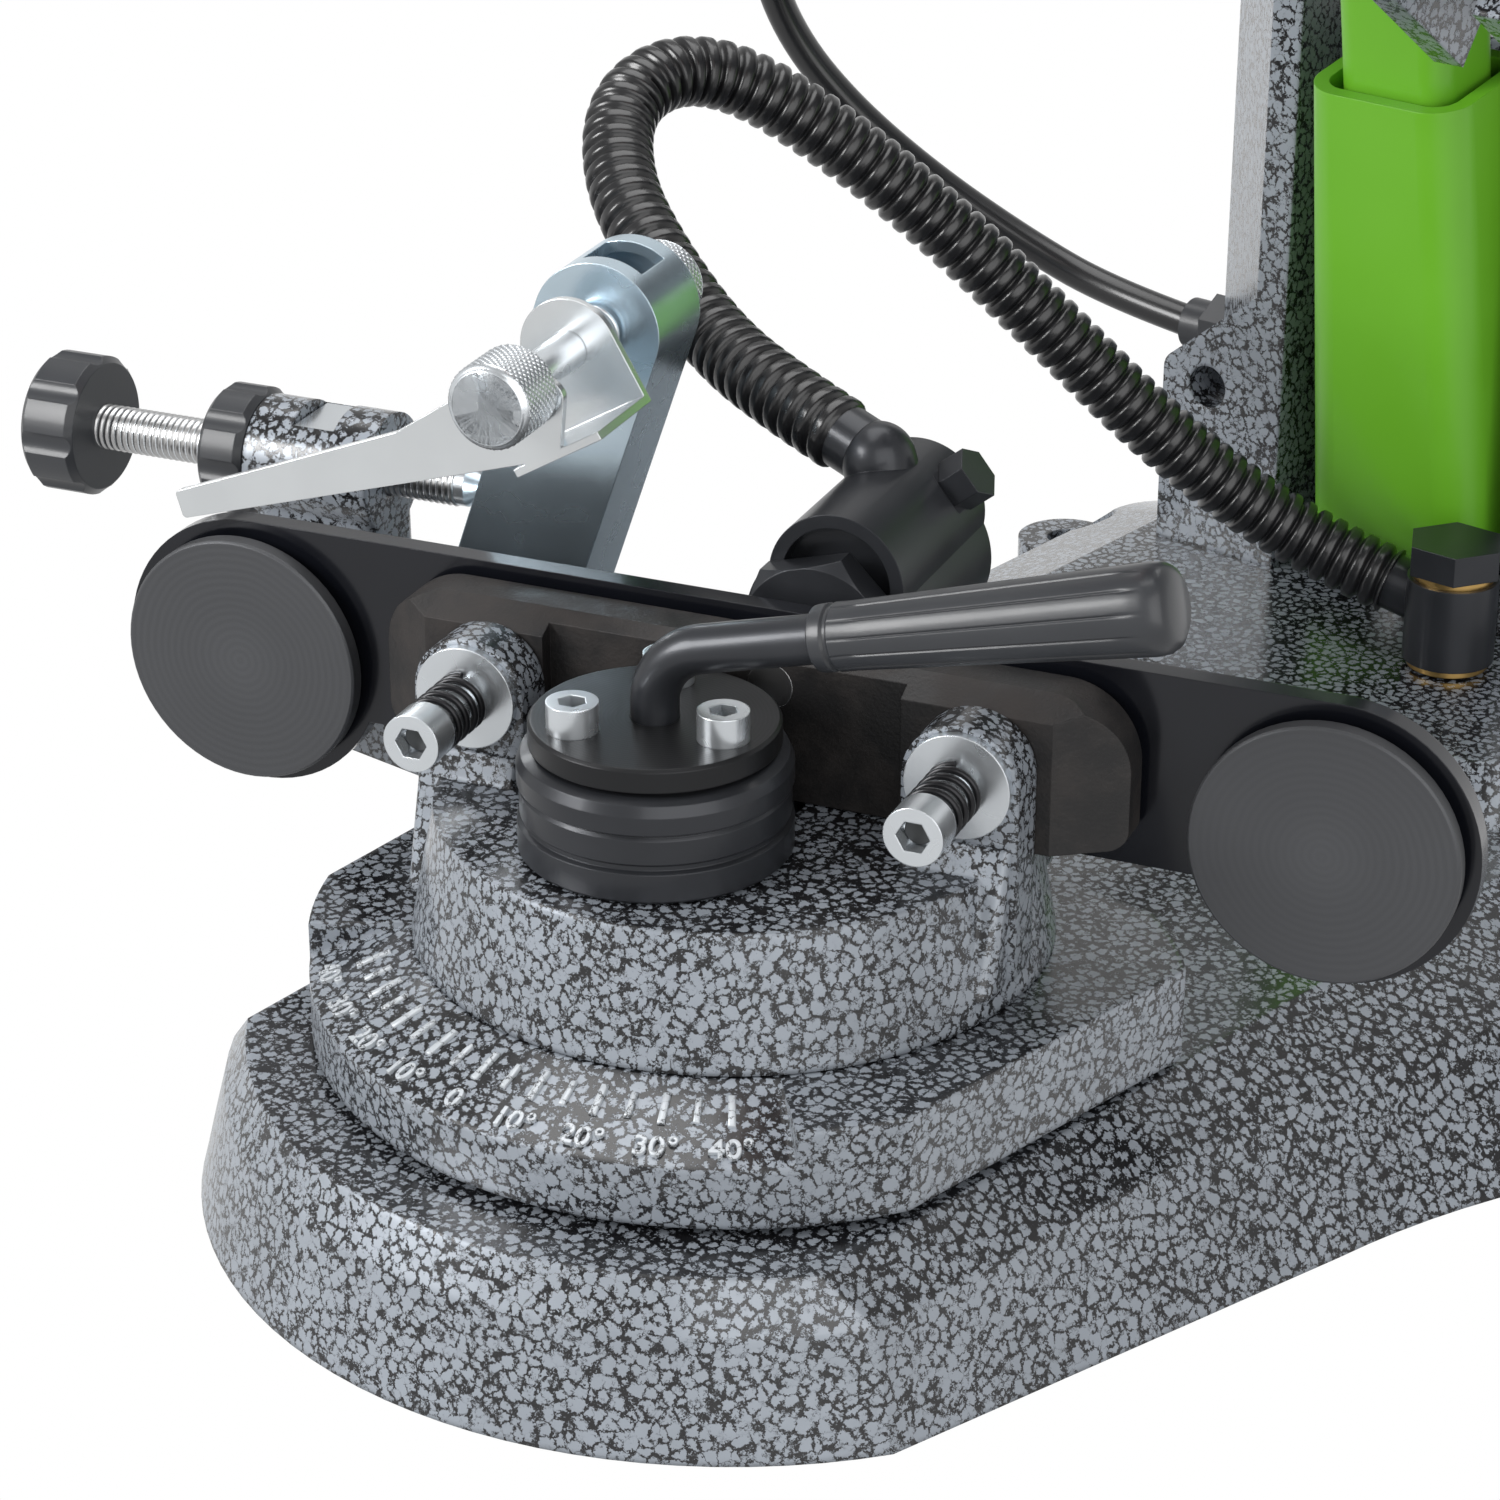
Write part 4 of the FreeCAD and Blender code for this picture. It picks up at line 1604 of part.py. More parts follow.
def head_arm():
    """Cast arm: hinge barrel, beam, motor plate, strut nose and damper lug."""
    barrel = rod(BARREL_RADIUS, Vector(-POCKET_HALF + GAP, HINGE_Y, HINGE_Z),
                 Vector(POCKET_HALF - GAP, HINGE_Y, HINGE_Z))
    beam = rectangle(BEAM_FRONT_Y, HINGE_Y, HINGE_Z - ARM_HALF_HEIGHT, HINGE_Z + ARM_HALF_HEIGHT, 6,
                     side(-ARM_HALF_WIDTH))
    beam = prism(beam, X_AXIS * (2 * ARM_HALF_WIDTH))
    hub = rod(MOTOR_RADIUS + 2, Vector(ARM_PLATE_X, WHEEL_Y, WHEEL_Z), Vector(ARM_PLATE_RIGHT, WHEEL_Y, WHEEL_Z))
    web = rounded([(WHEEL_Y, WHEEL_Z - MOTOR_RADIUS, 8), (BEAM_FRONT_Y + 22, HINGE_Z - ARM_HALF_HEIGHT, 4),
                   (BEAM_FRONT_Y + 22, HINGE_Z + ARM_HALF_HEIGHT, 4), (WHEEL_Y, WHEEL_Z + MOTOR_RADIUS, 8)],
                  side(ARM_PLATE_X))
    web = prism(web, X_AXIS * ARM_PLATE_THICK)
    arm = join([barrel, beam, hub, web] + arm_lug())
    arm = raise_head(arm)
    arm = join([arm, strut_nose()])
    pin = rod(HINGE_PIN_RADIUS + RUN, Vector(-POCKET_HALF, HINGE_Y, HINGE_Z),
              Vector(POCKET_HALF, HINGE_Y, HINGE_Z))
    spindle = rod(SPINDLE_RADIUS + RUN, Vector(ARM_PLATE_X, WHEEL_Y, WHEEL_Z),
                  Vector(ARM_PLATE_RIGHT, WHEEL_Y, WHEEL_Z))
    return less(arm, [pin, raise_head(spindle)])


def arm_lug():
    """Arched lug under the right side of the beam."""
    low = HINGE_Z - LUG_DROP
    shelf = block(Vector(ARM_HALF_WIDTH - 1, LUG_FRONT_Y, HINGE_Z - ARM_HALF_HEIGHT),
                  Vector(LUG_LEFT_X + LUG_WIDTH, LUG_FRONT_Y + LUG_LENGTH, HINGE_Z))
    arch = 0.5 * (LUG_WIDTH - 2 * LUG_CHEEK)
    crown = LUG_LEFT_X + 0.5 * LUG_WIDTH
    trace = Trace(front(LUG_FRONT_Y), (LUG_LEFT_X, low))
    trace.line((LUG_LEFT_X + LUG_CHEEK, low)).line((LUG_LEFT_X + LUG_CHEEK, low + arch))
    trace.arc((crown, low + 2 * arch), (LUG_LEFT_X + LUG_WIDTH - LUG_CHEEK, low + arch))
    trace.line((LUG_LEFT_X + LUG_WIDTH - LUG_CHEEK, low)).line((LUG_LEFT_X + LUG_WIDTH, low))
    trace.line((LUG_LEFT_X + LUG_WIDTH, HINGE_Z - 1)).line((LUG_LEFT_X, HINGE_Z - 1))
    return [shelf, prism(trace.close(), Y_AXIS * LUG_LENGTH)]


def strut_nose():
    """Round nose under the beam that bears on the strut's cap, at its rest place."""
    lean = math.radians(STRUT_LEAN)
    up = Vector(0, -math.sin(lean), math.cos(lean))
    foot = Vector(STRUT_X, STRUT_Y, PEDESTAL_Z)
    centre = foot + up * (INNER_COVER_HIGH + GAP + NOSE_RADIUS)
    half = 0.4 * INNER_WIDTH
    nose = rod(NOSE_RADIUS, centre - X_AXIS * half, centre + X_AXIS * half)
    neck = block(Vector(-half, -NOSE_RADIUS, 0), Vector(half, NOSE_RADIUS, 3 * NOSE_RADIUS))
    neck.rotate(Vector(0, 0, 0), X_AXIS, -HEAD_RAISE)
    neck.translate(centre)
    return join([nose, neck])


def motor_at(x):
    """Point on the motor's axis with the arm level."""
    return Vector(x, WHEEL_Y, WHEEL_Z)


def motor_housing():
    """Finned motor housing bolted to the arm's plate."""
    profile = [(0, 0), (MOTOR_RADIUS, 0)]
    pitch = MOTOR_LENGTH / (MOTOR_FINS + 1)
    for index in range(MOTOR_FINS):
        start = pitch * (index + 1) - MOTOR_FIN_GAP / 2
        end = start + MOTOR_FIN_GAP
        profile.extend([(MOTOR_RADIUS, start), (MOTOR_RADIUS - MOTOR_FIN_DEPTH, start),
                        (MOTOR_RADIUS - MOTOR_FIN_DEPTH, end), (MOTOR_RADIUS, end)])
    profile.extend([(MOTOR_RADIUS, MOTOR_LENGTH), (0, MOTOR_LENGTH)])
    housing = turned(profile, motor_at(ARM_PLATE_RIGHT), X_AXIS)
    hollow = rod(SPINDLE_RADIUS + RUN, motor_at(ARM_PLATE_RIGHT), motor_at(ARM_PLATE_RIGHT + 0.6 * MOTOR_LENGTH))
    return raise_head(housing.cut(hollow))


def motor_cap():
    """Domed cap on the motor's free end."""
    profile = [(0, 0), (MOTOR_RADIUS, 0), (MOTOR_RADIUS, MOTOR_CAP_LENGTH - MOTOR_CAP_ROUND),
               (MOTOR_RADIUS - 0.3 * MOTOR_CAP_ROUND, MOTOR_CAP_LENGTH - 0.3 * MOTOR_CAP_ROUND),
               (MOTOR_RADIUS - MOTOR_CAP_ROUND, MOTOR_CAP_LENGTH), (0, MOTOR_CAP_LENGTH)]
    return raise_head(turned(profile, motor_at(MOTOR_END_X), X_AXIS))


def wheel_guard():
    """Sheet guard round the upper part of the wheel, open below."""
    left = -GUARD_HALF_WIDTH
    right = ARM_PLATE_X
    shell = rod(GUARD_RADIUS, motor_at(left), motor_at(right))
    hollow = rod(GUARD_RADIUS - GUARD_WALL, motor_at(left + GUARD_WALL), motor_at(right - GUARD_WALL))
    mouth_reach = 2 * GUARD_RADIUS
    spread = math.radians(GUARD_MOUTH)
    low = Trace(side(left - 1), (WHEEL_Y, WHEEL_Z - 0.2 * GUARD_RADIUS))
    low.line((WHEEL_Y - mouth_reach * math.sin(spread), WHEEL_Z - mouth_reach * math.cos(spread)))
    low.line((WHEEL_Y - mouth_reach, WHEEL_Z - mouth_reach)).line((WHEEL_Y + mouth_reach, WHEEL_Z - mouth_reach))
    low.line((WHEEL_Y + mouth_reach * math.sin(spread), WHEEL_Z - mouth_reach * math.cos(spread)))
    mouth = prism(low.close(), X_AXIS * (right - left + 2))
    hole = rod(FLANGE_RADIUS + 4, motor_at(left - 1), motor_at(right + 1))
    return raise_head(less(shell, [hollow, mouth, hole]))


def grinding_wheel():
    """Thin grinding wheel."""
    half = WHEEL_THICK / 2
    nose = 0.8 * half
    profile = [(WHEEL_BORE_RADIUS, -half), (WHEEL_RADIUS - nose, -half),
               (WHEEL_RADIUS - 0.3 * nose, -half + 0.7 * nose),
               (WHEEL_RADIUS, 0), (WHEEL_RADIUS - 0.3 * nose, half - 0.7 * nose), (WHEEL_RADIUS - nose, half),
               (WHEEL_BORE_RADIUS, half)]
    return raise_head(turned(profile, motor_at(0), X_AXIS))


def wheel_spindle():
    """Motor spindle with the inner clamping flange and the wheel's seat."""
    half = WHEEL_THICK / 2
    end = ARM_PLATE_RIGHT + 0.55 * MOTOR_LENGTH
    start = -half - FLANGE_THICK - SPINDLE_NUT_LENGTH - 2
    profile = [(0, start), (SPINDLE_RADIUS, start), (SPINDLE_RADIUS, -half), (WHEEL_BORE_RADIUS, -half),
               (WHEEL_BORE_RADIUS, half), (FLANGE_RADIUS, half), (FLANGE_RADIUS, half + FLANGE_THICK),
               (SPINDLE_RADIUS, half + FLANGE_THICK), (SPINDLE_RADIUS, end), (0, end)]
    return raise_head(turned(profile, motor_at(0), X_AXIS))


def wheel_flange():
    """Outer clamping flange and its nut, made as one flange nut."""
    half = WHEEL_THICK / 2
    face = -half - FLANGE_THICK
    flange = turned([(0, face), (0.7 * FLANGE_RADIUS, face), (FLANGE_RADIUS, face + 0.5 * FLANGE_THICK),
                     (FLANGE_RADIUS, -half), (0, -half)], motor_at(0), X_AXIS)
    nut = hexagon(SPINDLE_NUT_FLATS, motor_at(face - SPINDLE_NUT_LENGTH), motor_at(face))
    bore = rod(SPINDLE_RADIUS, motor_at(face - SPINDLE_NUT_LENGTH), motor_at(-half))
    return raise_head(less(join([flange, nut]), [bore]))


def handle_foot():
    """Where the handle leaves the front of the arm's plate."""
    x = ARM_PLATE_X + 0.5 * ARM_PLATE_THICK
    tilt = math.radians(HANDLE_TILT)
    reach = MOTOR_RADIUS + 2
    return Vector(x, WHEEL_Y - reach * math.cos(tilt), WHEEL_Z + reach * math.sin(tilt))


def handle_way():
    """Direction of the handle."""
    tilt = math.radians(HANDLE_TILT)
    return Vector(0, -math.cos(tilt), math.sin(tilt))


def handle_bar():
    """Steel bar of the operating handle."""
    foot = handle_foot()
    hub = rod(MOTOR_RADIUS + 2, motor_at(ARM_PLATE_X), motor_at(ARM_PLATE_RIGHT))
    reach = HANDLE_STEM + 0.6 * HANDLE_GRIP_LENGTH
    bar = rod(0.42 * ARM_PLATE_THICK, foot - handle_way() * 3, foot + handle_way() * reach)
    return raise_head(bar.cut(hub))


def handle_grip():
    """Moulded grip of the operating handle."""
    start = handle_foot() + handle_way() * HANDLE_STEM
    bore = 0.42 * ARM_PLATE_THICK
    depth = 0.6 * HANDLE_GRIP_LENGTH
    profile = [(0, depth), (bore, depth), (bore, 0), (0.75 * HANDLE_GRIP_RADIUS, 0),
               (0.85 * HANDLE_GRIP_RADIUS, 3), (HANDLE_GRIP_RADIUS, 0.45 * HANDLE_GRIP_LENGTH),
               (0.88 * HANDLE_GRIP_RADIUS, 0.8 * HANDLE_GRIP_LENGTH),
               (HANDLE_GRIP_RADIUS, 0.93 * HANDLE_GRIP_LENGTH), (0.7 * HANDLE_GRIP_RADIUS, HANDLE_GRIP_LENGTH),
               (0, HANDLE_GRIP_LENGTH)]
    return raise_head(turned(profile, start, handle_way()))


def rocker_centre():
    """Middle of the rocker's outer face on the switch box."""
    return Vector(SWITCH_LEFT_X, SWITCH_FRONT_Y + 0.5 * SWITCH_LENGTH, HINGE_Z + 0.26 * SWITCH_HEIGHT)


def rocker_trunnion(radius, over):
    """Pivot of the rocker across its well, reaching over each side."""
    centre = rocker_centre() + X_AXIS * (0.45 * ROCKER_DEPTH)
    reach = Z_AXIS * (ROCKER_HEIGHT / 2 + GAP + over)
    return rod(radius, centre - reach, centre + reach)


def switch_box():
    """Switch housing on the arm's left side with its moulded cable gland."""
    low = HINGE_Z - SWITCH_HEIGHT / 2
    outline = rectangle(SWITCH_FRONT_Y, SWITCH_FRONT_Y + SWITCH_LENGTH, low, low + SWITCH_HEIGHT, SWITCH_ROUND,
                        side(SWITCH_LEFT_X))
    box = prism(outline, X_AXIS * (-ARM_HALF_WIDTH - SWITCH_LEFT_X))
    box = join([box, gland(switch_gland_seat(), -X_AXIS)])
    centre = rocker_centre()
    half = Vector(0, ROCKER_LENGTH / 2 + GAP, ROCKER_HEIGHT / 2 + GAP)
    well = block(centre - half - X_AXIS, centre + half + X_AXIS * (ROCKER_DEPTH + 2))
    return raise_head(less(box, [well, rocker_trunnion(TRUNNION_RADIUS + RUN, TRUNNION_REACH)]))


def switch_rocker():
    """Rocker of the on-off switch with its trunnions, rocked to off."""
    centre = rocker_centre()
    reach = ROCKER_LENGTH / 2
    low = centre.z - ROCKER_HEIGHT / 2
    outline = Trace(lambda a, b: Vector(centre.x + a, centre.y + b, low), (ROCKER_DEPTH, 0))
    outline.line((ROCKER_DEPTH * 0.55, reach)).line((-0.2 * ROCKER_PROUD, reach - 1)).line((0.8, 0))
    outline.line((-ROCKER_PROUD, 1 - reach)).line((ROCKER_DEPTH * 0.55, -reach))
    rocker = prism(outline.close(), Z_AXIS * ROCKER_HEIGHT)
    return raise_head(join([rocker, rocker_trunnion(TRUNNION_RADIUS, TRUNNION_REACH - GAP)]))


PIECES = [base_casting, scale_plate, swivel_stud, swivel_nut, column, column_screws, hinge_pin, outer_cover,
          master_cylinder, banjo_fitting, banjo_washers, banjo_bolt, column_gland, hydraulic_hose, motor_cable,
          return_spring, vise_body, rear_rail, rail_screws, guide_discs, disc_nuts, cam_pin, spring_washers,
          slave_cylinder, gland_nut, bleed_screw, front_ferrule, captive_nut, stop_pin, front_jaw, jaw_screws,
          jaw_piston, jaw_springs, cam_drum, cam_plate, cam_screws, lever_rod, lever_grip, stop_arm, stop_washer,
          pawl_spring, chain_pawl, stop_knob, thumb_nut, adjuster_screw, adjuster_knob, lock_knob, inner_cover,
          push_rod, head_arm, motor_housing, motor_cap, wheel_guard, handle_bar, handle_grip, switch_box,
          switch_rocker, grinding_wheel, wheel_spindle, wheel_flange]


def main():
    """Write one STEP file per piece."""
    os.makedirs("parts", exist_ok=True)
    for piece in PIECES:
        shape = piece()
        if not shape.isValid():
            print(piece.__name__, "is not valid")
        print(piece.__name__, "solids", len(shape.Solids), "volume", round(shape.Volume))
        shape.exportStep(os.path.join("parts", piece.__name__ + ".step"))


main()
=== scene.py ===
"""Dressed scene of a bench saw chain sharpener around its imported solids.

Lengths in the dataclasses are in millimetres in the part's frame, and become metres in the meshes.
"""
import logging
import math
from dataclasses import dataclass
from enum import Enum
from typing import Callable, Dict, List, Optional, Sequence, Tuple

import bmesh
import bpy
from mathutils import Matrix, Vector


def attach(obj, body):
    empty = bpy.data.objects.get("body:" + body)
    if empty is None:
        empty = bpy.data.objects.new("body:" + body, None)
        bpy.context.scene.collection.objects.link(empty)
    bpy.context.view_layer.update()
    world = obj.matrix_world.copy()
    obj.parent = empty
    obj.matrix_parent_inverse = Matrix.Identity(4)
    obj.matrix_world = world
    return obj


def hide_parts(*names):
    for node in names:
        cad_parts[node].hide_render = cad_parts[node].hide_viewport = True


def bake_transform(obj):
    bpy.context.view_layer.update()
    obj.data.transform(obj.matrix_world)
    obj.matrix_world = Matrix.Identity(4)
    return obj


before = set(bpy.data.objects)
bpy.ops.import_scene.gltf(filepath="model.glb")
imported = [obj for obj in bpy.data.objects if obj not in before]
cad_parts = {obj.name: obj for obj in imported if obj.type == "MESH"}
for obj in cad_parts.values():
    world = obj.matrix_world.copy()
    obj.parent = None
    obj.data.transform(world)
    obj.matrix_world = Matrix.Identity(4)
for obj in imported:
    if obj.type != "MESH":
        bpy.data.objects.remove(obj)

LOG = logging.getLogger("chain_sharpener")
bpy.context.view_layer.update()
MM = 0.001
SWIVEL = math.radians(17.0)
Colour = Tuple[float, float, float]
Point = Tuple[float, float, float]


def vise(u: float, v: float, z: float) -> Vector:
    """Point of the swivelled vise, in metres.

    Args:
        u: distance along the rail, in millimetres.
        v: distance behind the swivel axis, in millimetres.
        z: height, in millimetres.

    Returns:
        The point in the part's frame.
    """
    return Matrix.Rotation(SWIVEL, 3, "Z") @ (Vector((u, v, z)) * MM)


VISE_ALONG = (vise(1, 0, 0) * 1000).normalized()
VISE_BACK = (vise(0, 1, 0) * 1000).normalized()


class Sock:
    """Shader socket that makes math nodes through Python's operators."""

    def __init__(self, graph: "Graph", socket: bpy.types.NodeSocket) -> None:
        """Keep the graph and the socket."""
        self.graph = graph
        self.socket = socket

    def _math(self, operation: str, other: object) -> "Sock":
        """Math node of this socket and another value.

        Args:
            operation: name of the operation.
            other: socket or number.

        Returns:
            The result's socket.
        """
        return self.graph.node("ShaderNodeMath", {0: self, 1: other}, operation=operation)

    def __add__(self, other: object) -> "Sock":
        """Sum."""
        return self._math("ADD", other)

    def __sub__(self, other: object) -> "Sock":
        """Difference."""
        return self._math("SUBTRACT", other)

    def __mul__(self, other: object) -> "Sock":
        """Product."""
        return self._math("MULTIPLY", other)

    def least(self, other: object) -> "Sock":
        """Smaller of the two."""
        return self._math("MINIMUM", other)

    def sine(self) -> "Sock":
        """Sine of the value."""
        return self.graph.node("ShaderNodeMath", {0: self}, operation="SINE")

    def span(self, low: float, high: float, to_low: float = 0.0, to_high: float = 1.0) -> "Sock":
        """Value mapped smoothly from one range to another.

        Args:
            low: value that gives to_low.
            high: value that gives to_high.
            to_low: lower result.
            to_high: upper result.

        Returns:
            The mapped socket.
        """
        return self.graph.node("ShaderNodeMapRange", {0: self, 1: low, 2: high, 3: to_low, 4: to_high},
                               interpolation_type="SMOOTHSTEP")


class Graph:
    """Node tree of a material or world, with one way of making nodes."""

    EDGE_SAMPLES = 6

    def __init__(self, owner: bpy.types.ID) -> None:
        """Empty the tree of a new material or world.

        Args:
            owner: the material or world.
        """
        self.owner = owner
        owner.use_nodes = True
        self.tree = owner.node_tree
        self.tree.nodes.clear()

    def node(self, kind: str, inputs: Dict[object, object], output: object = 0,
             **settings: object) -> Optional[Sock]:
        """New node with its inputs linked or set.

        Args:
            kind: node type.
            inputs: input names or numbers with sockets or values.
            output: output name or number to return.
            settings: attributes of the node.

        Returns:
            The chosen output, or None for a node without outputs.
        """
        made = self.tree.nodes.new(kind)
        for key, value in settings.items():
            setattr(made, key, value)
        for key, value in inputs.items():
            if isinstance(value, Sock):
                self.tree.links.new(value.socket, made.inputs[key])
            else:
                made.inputs[key].default_value = value
        return Sock(self, made.outputs[output]) if len(made.outputs) else None

    def place(self) -> Sock:
        """Object coordinates."""
        return self.node("ShaderNodeTexCoord", {}, "Object")

    def noise(self, scale: float, detail: float = 2.0, rough: float = 0.5, at: object = None) -> Sock:
        """Noise factor.

        Args:
            scale: waves per metre.
            detail: octaves.
            rough: strength of the finer octaves.
            at: coordinates, or None for the object's.

        Returns:
            The noise.
        """
        where = self.place() if at is None else at
        return self.node("ShaderNodeTexNoise", {"Vector": where, "Scale": scale, "Detail": detail,
                                                "Roughness": rough}, "Fac")

    def mix(self, factor: object, low: object, high: object) -> Sock:
        """Colour between two colours.

        Args:
            factor: socket or number from 0 to 1.
            low: colour or socket at 0.
            high: colour or socket at 1.

        Returns:
            The mixed colour.
        """
        def rgba(value: object) -> object:
            """Colour with its alpha, or the socket as it is."""
            return value if isinstance(value, Sock) else (*value, 1.0)
        return self.node("ShaderNodeMix", {0: factor, 6: rgba(low), 7: rgba(high)}, 2, data_type="RGBA")

    def bump(self, height: Sock, strength: float, distance: float, edge: float = 0.3) -> Sock:
        """Normal rounded at the edges and bent by a height.

        Args:
            height: height socket.
            strength: share of the effect.
            distance: height in metres.
            edge: radius of the rounded edges in millimetres.

        Returns:
            The normal.
        """
        round_edge = self.node("ShaderNodeBevel", {"Radius": edge * MM}, samples=self.EDGE_SAMPLES)
        return self.node("ShaderNodeBump", {"Height": height, "Strength": strength, "Distance": distance,
                                            "Normal": round_edge})

    def close(self, inputs: Dict[str, object]) -> bpy.types.Material:
        """Finish with a principled surface.

        Args:
            inputs: inputs of the surface.

        Returns:
            The material.
        """
        ready = {key: (*value, 1.0) if isinstance(value, tuple) else value for key, value in inputs.items()}
        surface = self.node("ShaderNodeBsdfPrincipled", ready)
        self.node("ShaderNodeOutputMaterial", {"Surface": surface})
        return self.owner


@dataclass(frozen=True)
class Plain:
    """Even finish with a little grain.

    name: material name; colour: linear base colour; rough: roughness; metal: metallic share;
    coat: clear coat; grain: waves per metre of the grain; relief: height of the grain in millimetres;
    vary: share by which the colour varies; wear: waves per metre of that variation.
    """
    name: str
    colour: Colour
    rough: float = 0.4
    metal: float = 0.0
    coat: float = 0.0
    grain: float = 900.0
    relief: float = 0.01
    vary: float = 0.12
    wear: float = 60.0

    def build(self) -> bpy.types.Material:
        """Material of the finish."""
        graph = Graph(bpy.data.materials.new(self.name))
        grain = graph.noise(self.grain, 3.0)
        wear = graph.noise(self.wear, 3.0)
        dark = tuple(channel * (1 - self.vary) for channel in self.colour)
        light = tuple(min(1.0, channel * (1 + self.vary)) for channel in self.colour)
        return graph.close({"Base Color": graph.mix(wear, dark, light), "Metallic": self.metal,
                            "Roughness": wear.span(0.2, 0.8, self.rough * 0.85, self.rough * 1.15),
                            "Coat Weight": self.coat, "Coat Roughness": 0.12,
                            "Normal": graph.bump(grain, 0.5, self.relief * MM)})


@dataclass(frozen=True)
class Hammertone:
    """Silver grey paint broken by fine black veins and specks, with painted shade on the faces that look up.

    cells: cells per metre; vein: widest vein as a share of a cell; tops: painted shade, extra vein on faces
    that look up; specks: widest speck; edge: rounding of the casting in millimetres; ragged, reach: waves per
    metre and metres by which the veins wander; breaks, dots, cloud, peel: waves per metre of the veins'
    breaks, of the specks' patches, of the tint and of the orange peel.
    """
    name: str = "hammertone"
    silver: Colour = (0.275, 0.303, 0.342)
    black: Colour = (0.007, 0.007, 0.008)
    cells: float = 460.0
    vein: float = 0.115
    top_shade: float = 0.06
    specks: float = 0.08
    edge: float = 1.6
    ragged: float = 1500.0
    reach: float = 0.0021
    breaks: float = 480.0
    dots: float = 420.0
    cloud: float = 45.0
    peel: float = 190.0

    def build(self) -> bpy.types.Material:
        """Material of the paint."""
        graph = Graph(bpy.data.materials.new(self.name))
        place = graph.place()
        warp = graph.node("ShaderNodeTexNoise", {"Vector": place, "Scale": self.ragged, "Detail": 4.0,
                                                 "Roughness": 0.72}, "Color")
        push = graph.node("ShaderNodeVectorMath", {0: warp, 1: (0.5, 0.5, 0.5)}, operation="SUBTRACT")
        push = graph.node("ShaderNodeVectorMath", {0: push, "Scale": self.reach}, operation="SCALE")
        bent = graph.node("ShaderNodeVectorMath", {0: place, 1: push}, operation="ADD")
        edge = graph.node("ShaderNodeTexVoronoi", {"Vector": bent, "Scale": self.cells}, "Distance",
                          feature="DISTANCE_TO_EDGE")
        fine = graph.node("ShaderNodeTexVoronoi", {"Vector": bent, "Scale": 2.0 * self.cells}, "Distance",
                          feature="DISTANCE_TO_EDGE")
        normal = graph.node("ShaderNodeNewGeometry", {}, "Normal")
        # Painted shade: faces that look up get wider black veins, so the upper faces come out darker.
        up = graph.node("ShaderNodeSeparateXYZ", {0: normal}, 2).span(0.3, 0.95)
        width = graph.noise(self.breaks, 2.0).span(0.3, 0.62, -0.005, self.vein) + up * self.top_shade
        veins = (edge - width).span(-0.02, 0.03)
        width = graph.noise(self.dots, 2.0).span(0.5, 0.7, -0.05, self.specks)
        specks = (fine - width).span(-0.03, 0.05)
        lit = veins * specks
        cloud = graph.noise(self.cloud, 3.0).span(0.25, 0.75, 0.9, 1.06)
        silver = graph.mix(cloud, (0.0, 0.0, 0.0), self.silver)
        height = lit + graph.noise(self.peel, 2.0) * 2.2
        return graph.close({"Base Color": graph.mix(lit, self.black, silver), "Metallic": lit * 0.2,
                            "Roughness": lit.span(0, 1, 0.2, 0.36), "Coat Weight": 0.5,
                            "Coat Roughness": 0.16,
                            "Normal": graph.bump(height, 0.3, 0.00016, self.edge)})


@dataclass(frozen=True)
class Turned:
    """Lathe-turned face with fine rings about one or more centres.

    centres: points on the axes in metres; axis: direction of the axes; rough: roughness; metal: metallic
    share; pitch: millimetres per ring; waver: how far the rings wander, in radians.
    """
    name: str
    colour: Colour
    centres: Tuple[Point, ...]
    axis: Point
    rough: float = 0.42
    metal: float = 0.55
    pitch: float = 1.4
    waver: float = 5.0

    def build(self) -> bpy.types.Material:
        """Material of the turned face."""
        graph = Graph(bpy.data.materials.new(self.name))
        place = graph.place()
        reach = None
        for centre in self.centres:
            away = graph.node("ShaderNodeVectorMath", {0: place, 1: centre}, operation="SUBTRACT")
            across = graph.node("ShaderNodeVectorMath", {0: away, 1: self.axis}, operation="CROSS_PRODUCT")
            length = graph.node("ShaderNodeVectorMath", {0: across}, "Value", operation="LENGTH")
            reach = length if reach is None else reach.least(length)
        wobble = graph.noise(120.0, 3.0)
        rings = (reach * (2 * math.pi / (self.pitch * MM)) + wobble * self.waver).sine()
        broad = graph.noise(26.0, 2.0).span(0.3, 0.7)
        shine = reach.span(0.0, 0.012, 1.0, 0.0)
        dark = tuple(channel * 0.82 for channel in self.colour)
        light = tuple(channel * 1.25 for channel in self.colour)
        factor = rings.span(-1, 1, 0.36, 0.5) + shine * 0.3 + broad * 0.15
        return graph.close({"Base Color": graph.mix(factor, dark, light), "Metallic": self.metal,
                            "Roughness": rings.span(-1, 1, self.rough * 0.92, self.rough * 1.06),
                            "Normal": graph.bump(rings, 0.12, 0.00002)})


@dataclass(frozen=True)
class Cast:
    """Rough dark casting with brown patches."""
    name: str = "cast_black"
    dark: Colour = (0.017, 0.0165, 0.017)
    brown: Colour = (0.036, 0.031, 0.029)

    def build(self) -> bpy.types.Material:
        """Material of the casting."""
        graph = Graph(bpy.data.materials.new(self.name))
        patch = graph.noise(70.0, 5.0, 0.6).span(0.35, 0.7)
        grit = graph.noise(1500.0, 2.0)
        return graph.close({"Base Color": graph.mix(patch, self.dark, self.brown), "Metallic": 0.35,
                            "Roughness": patch.span(0, 1, 0.4, 0.58),
                            "Normal": graph.bump(grit + patch, 0.6, 0.00012)})


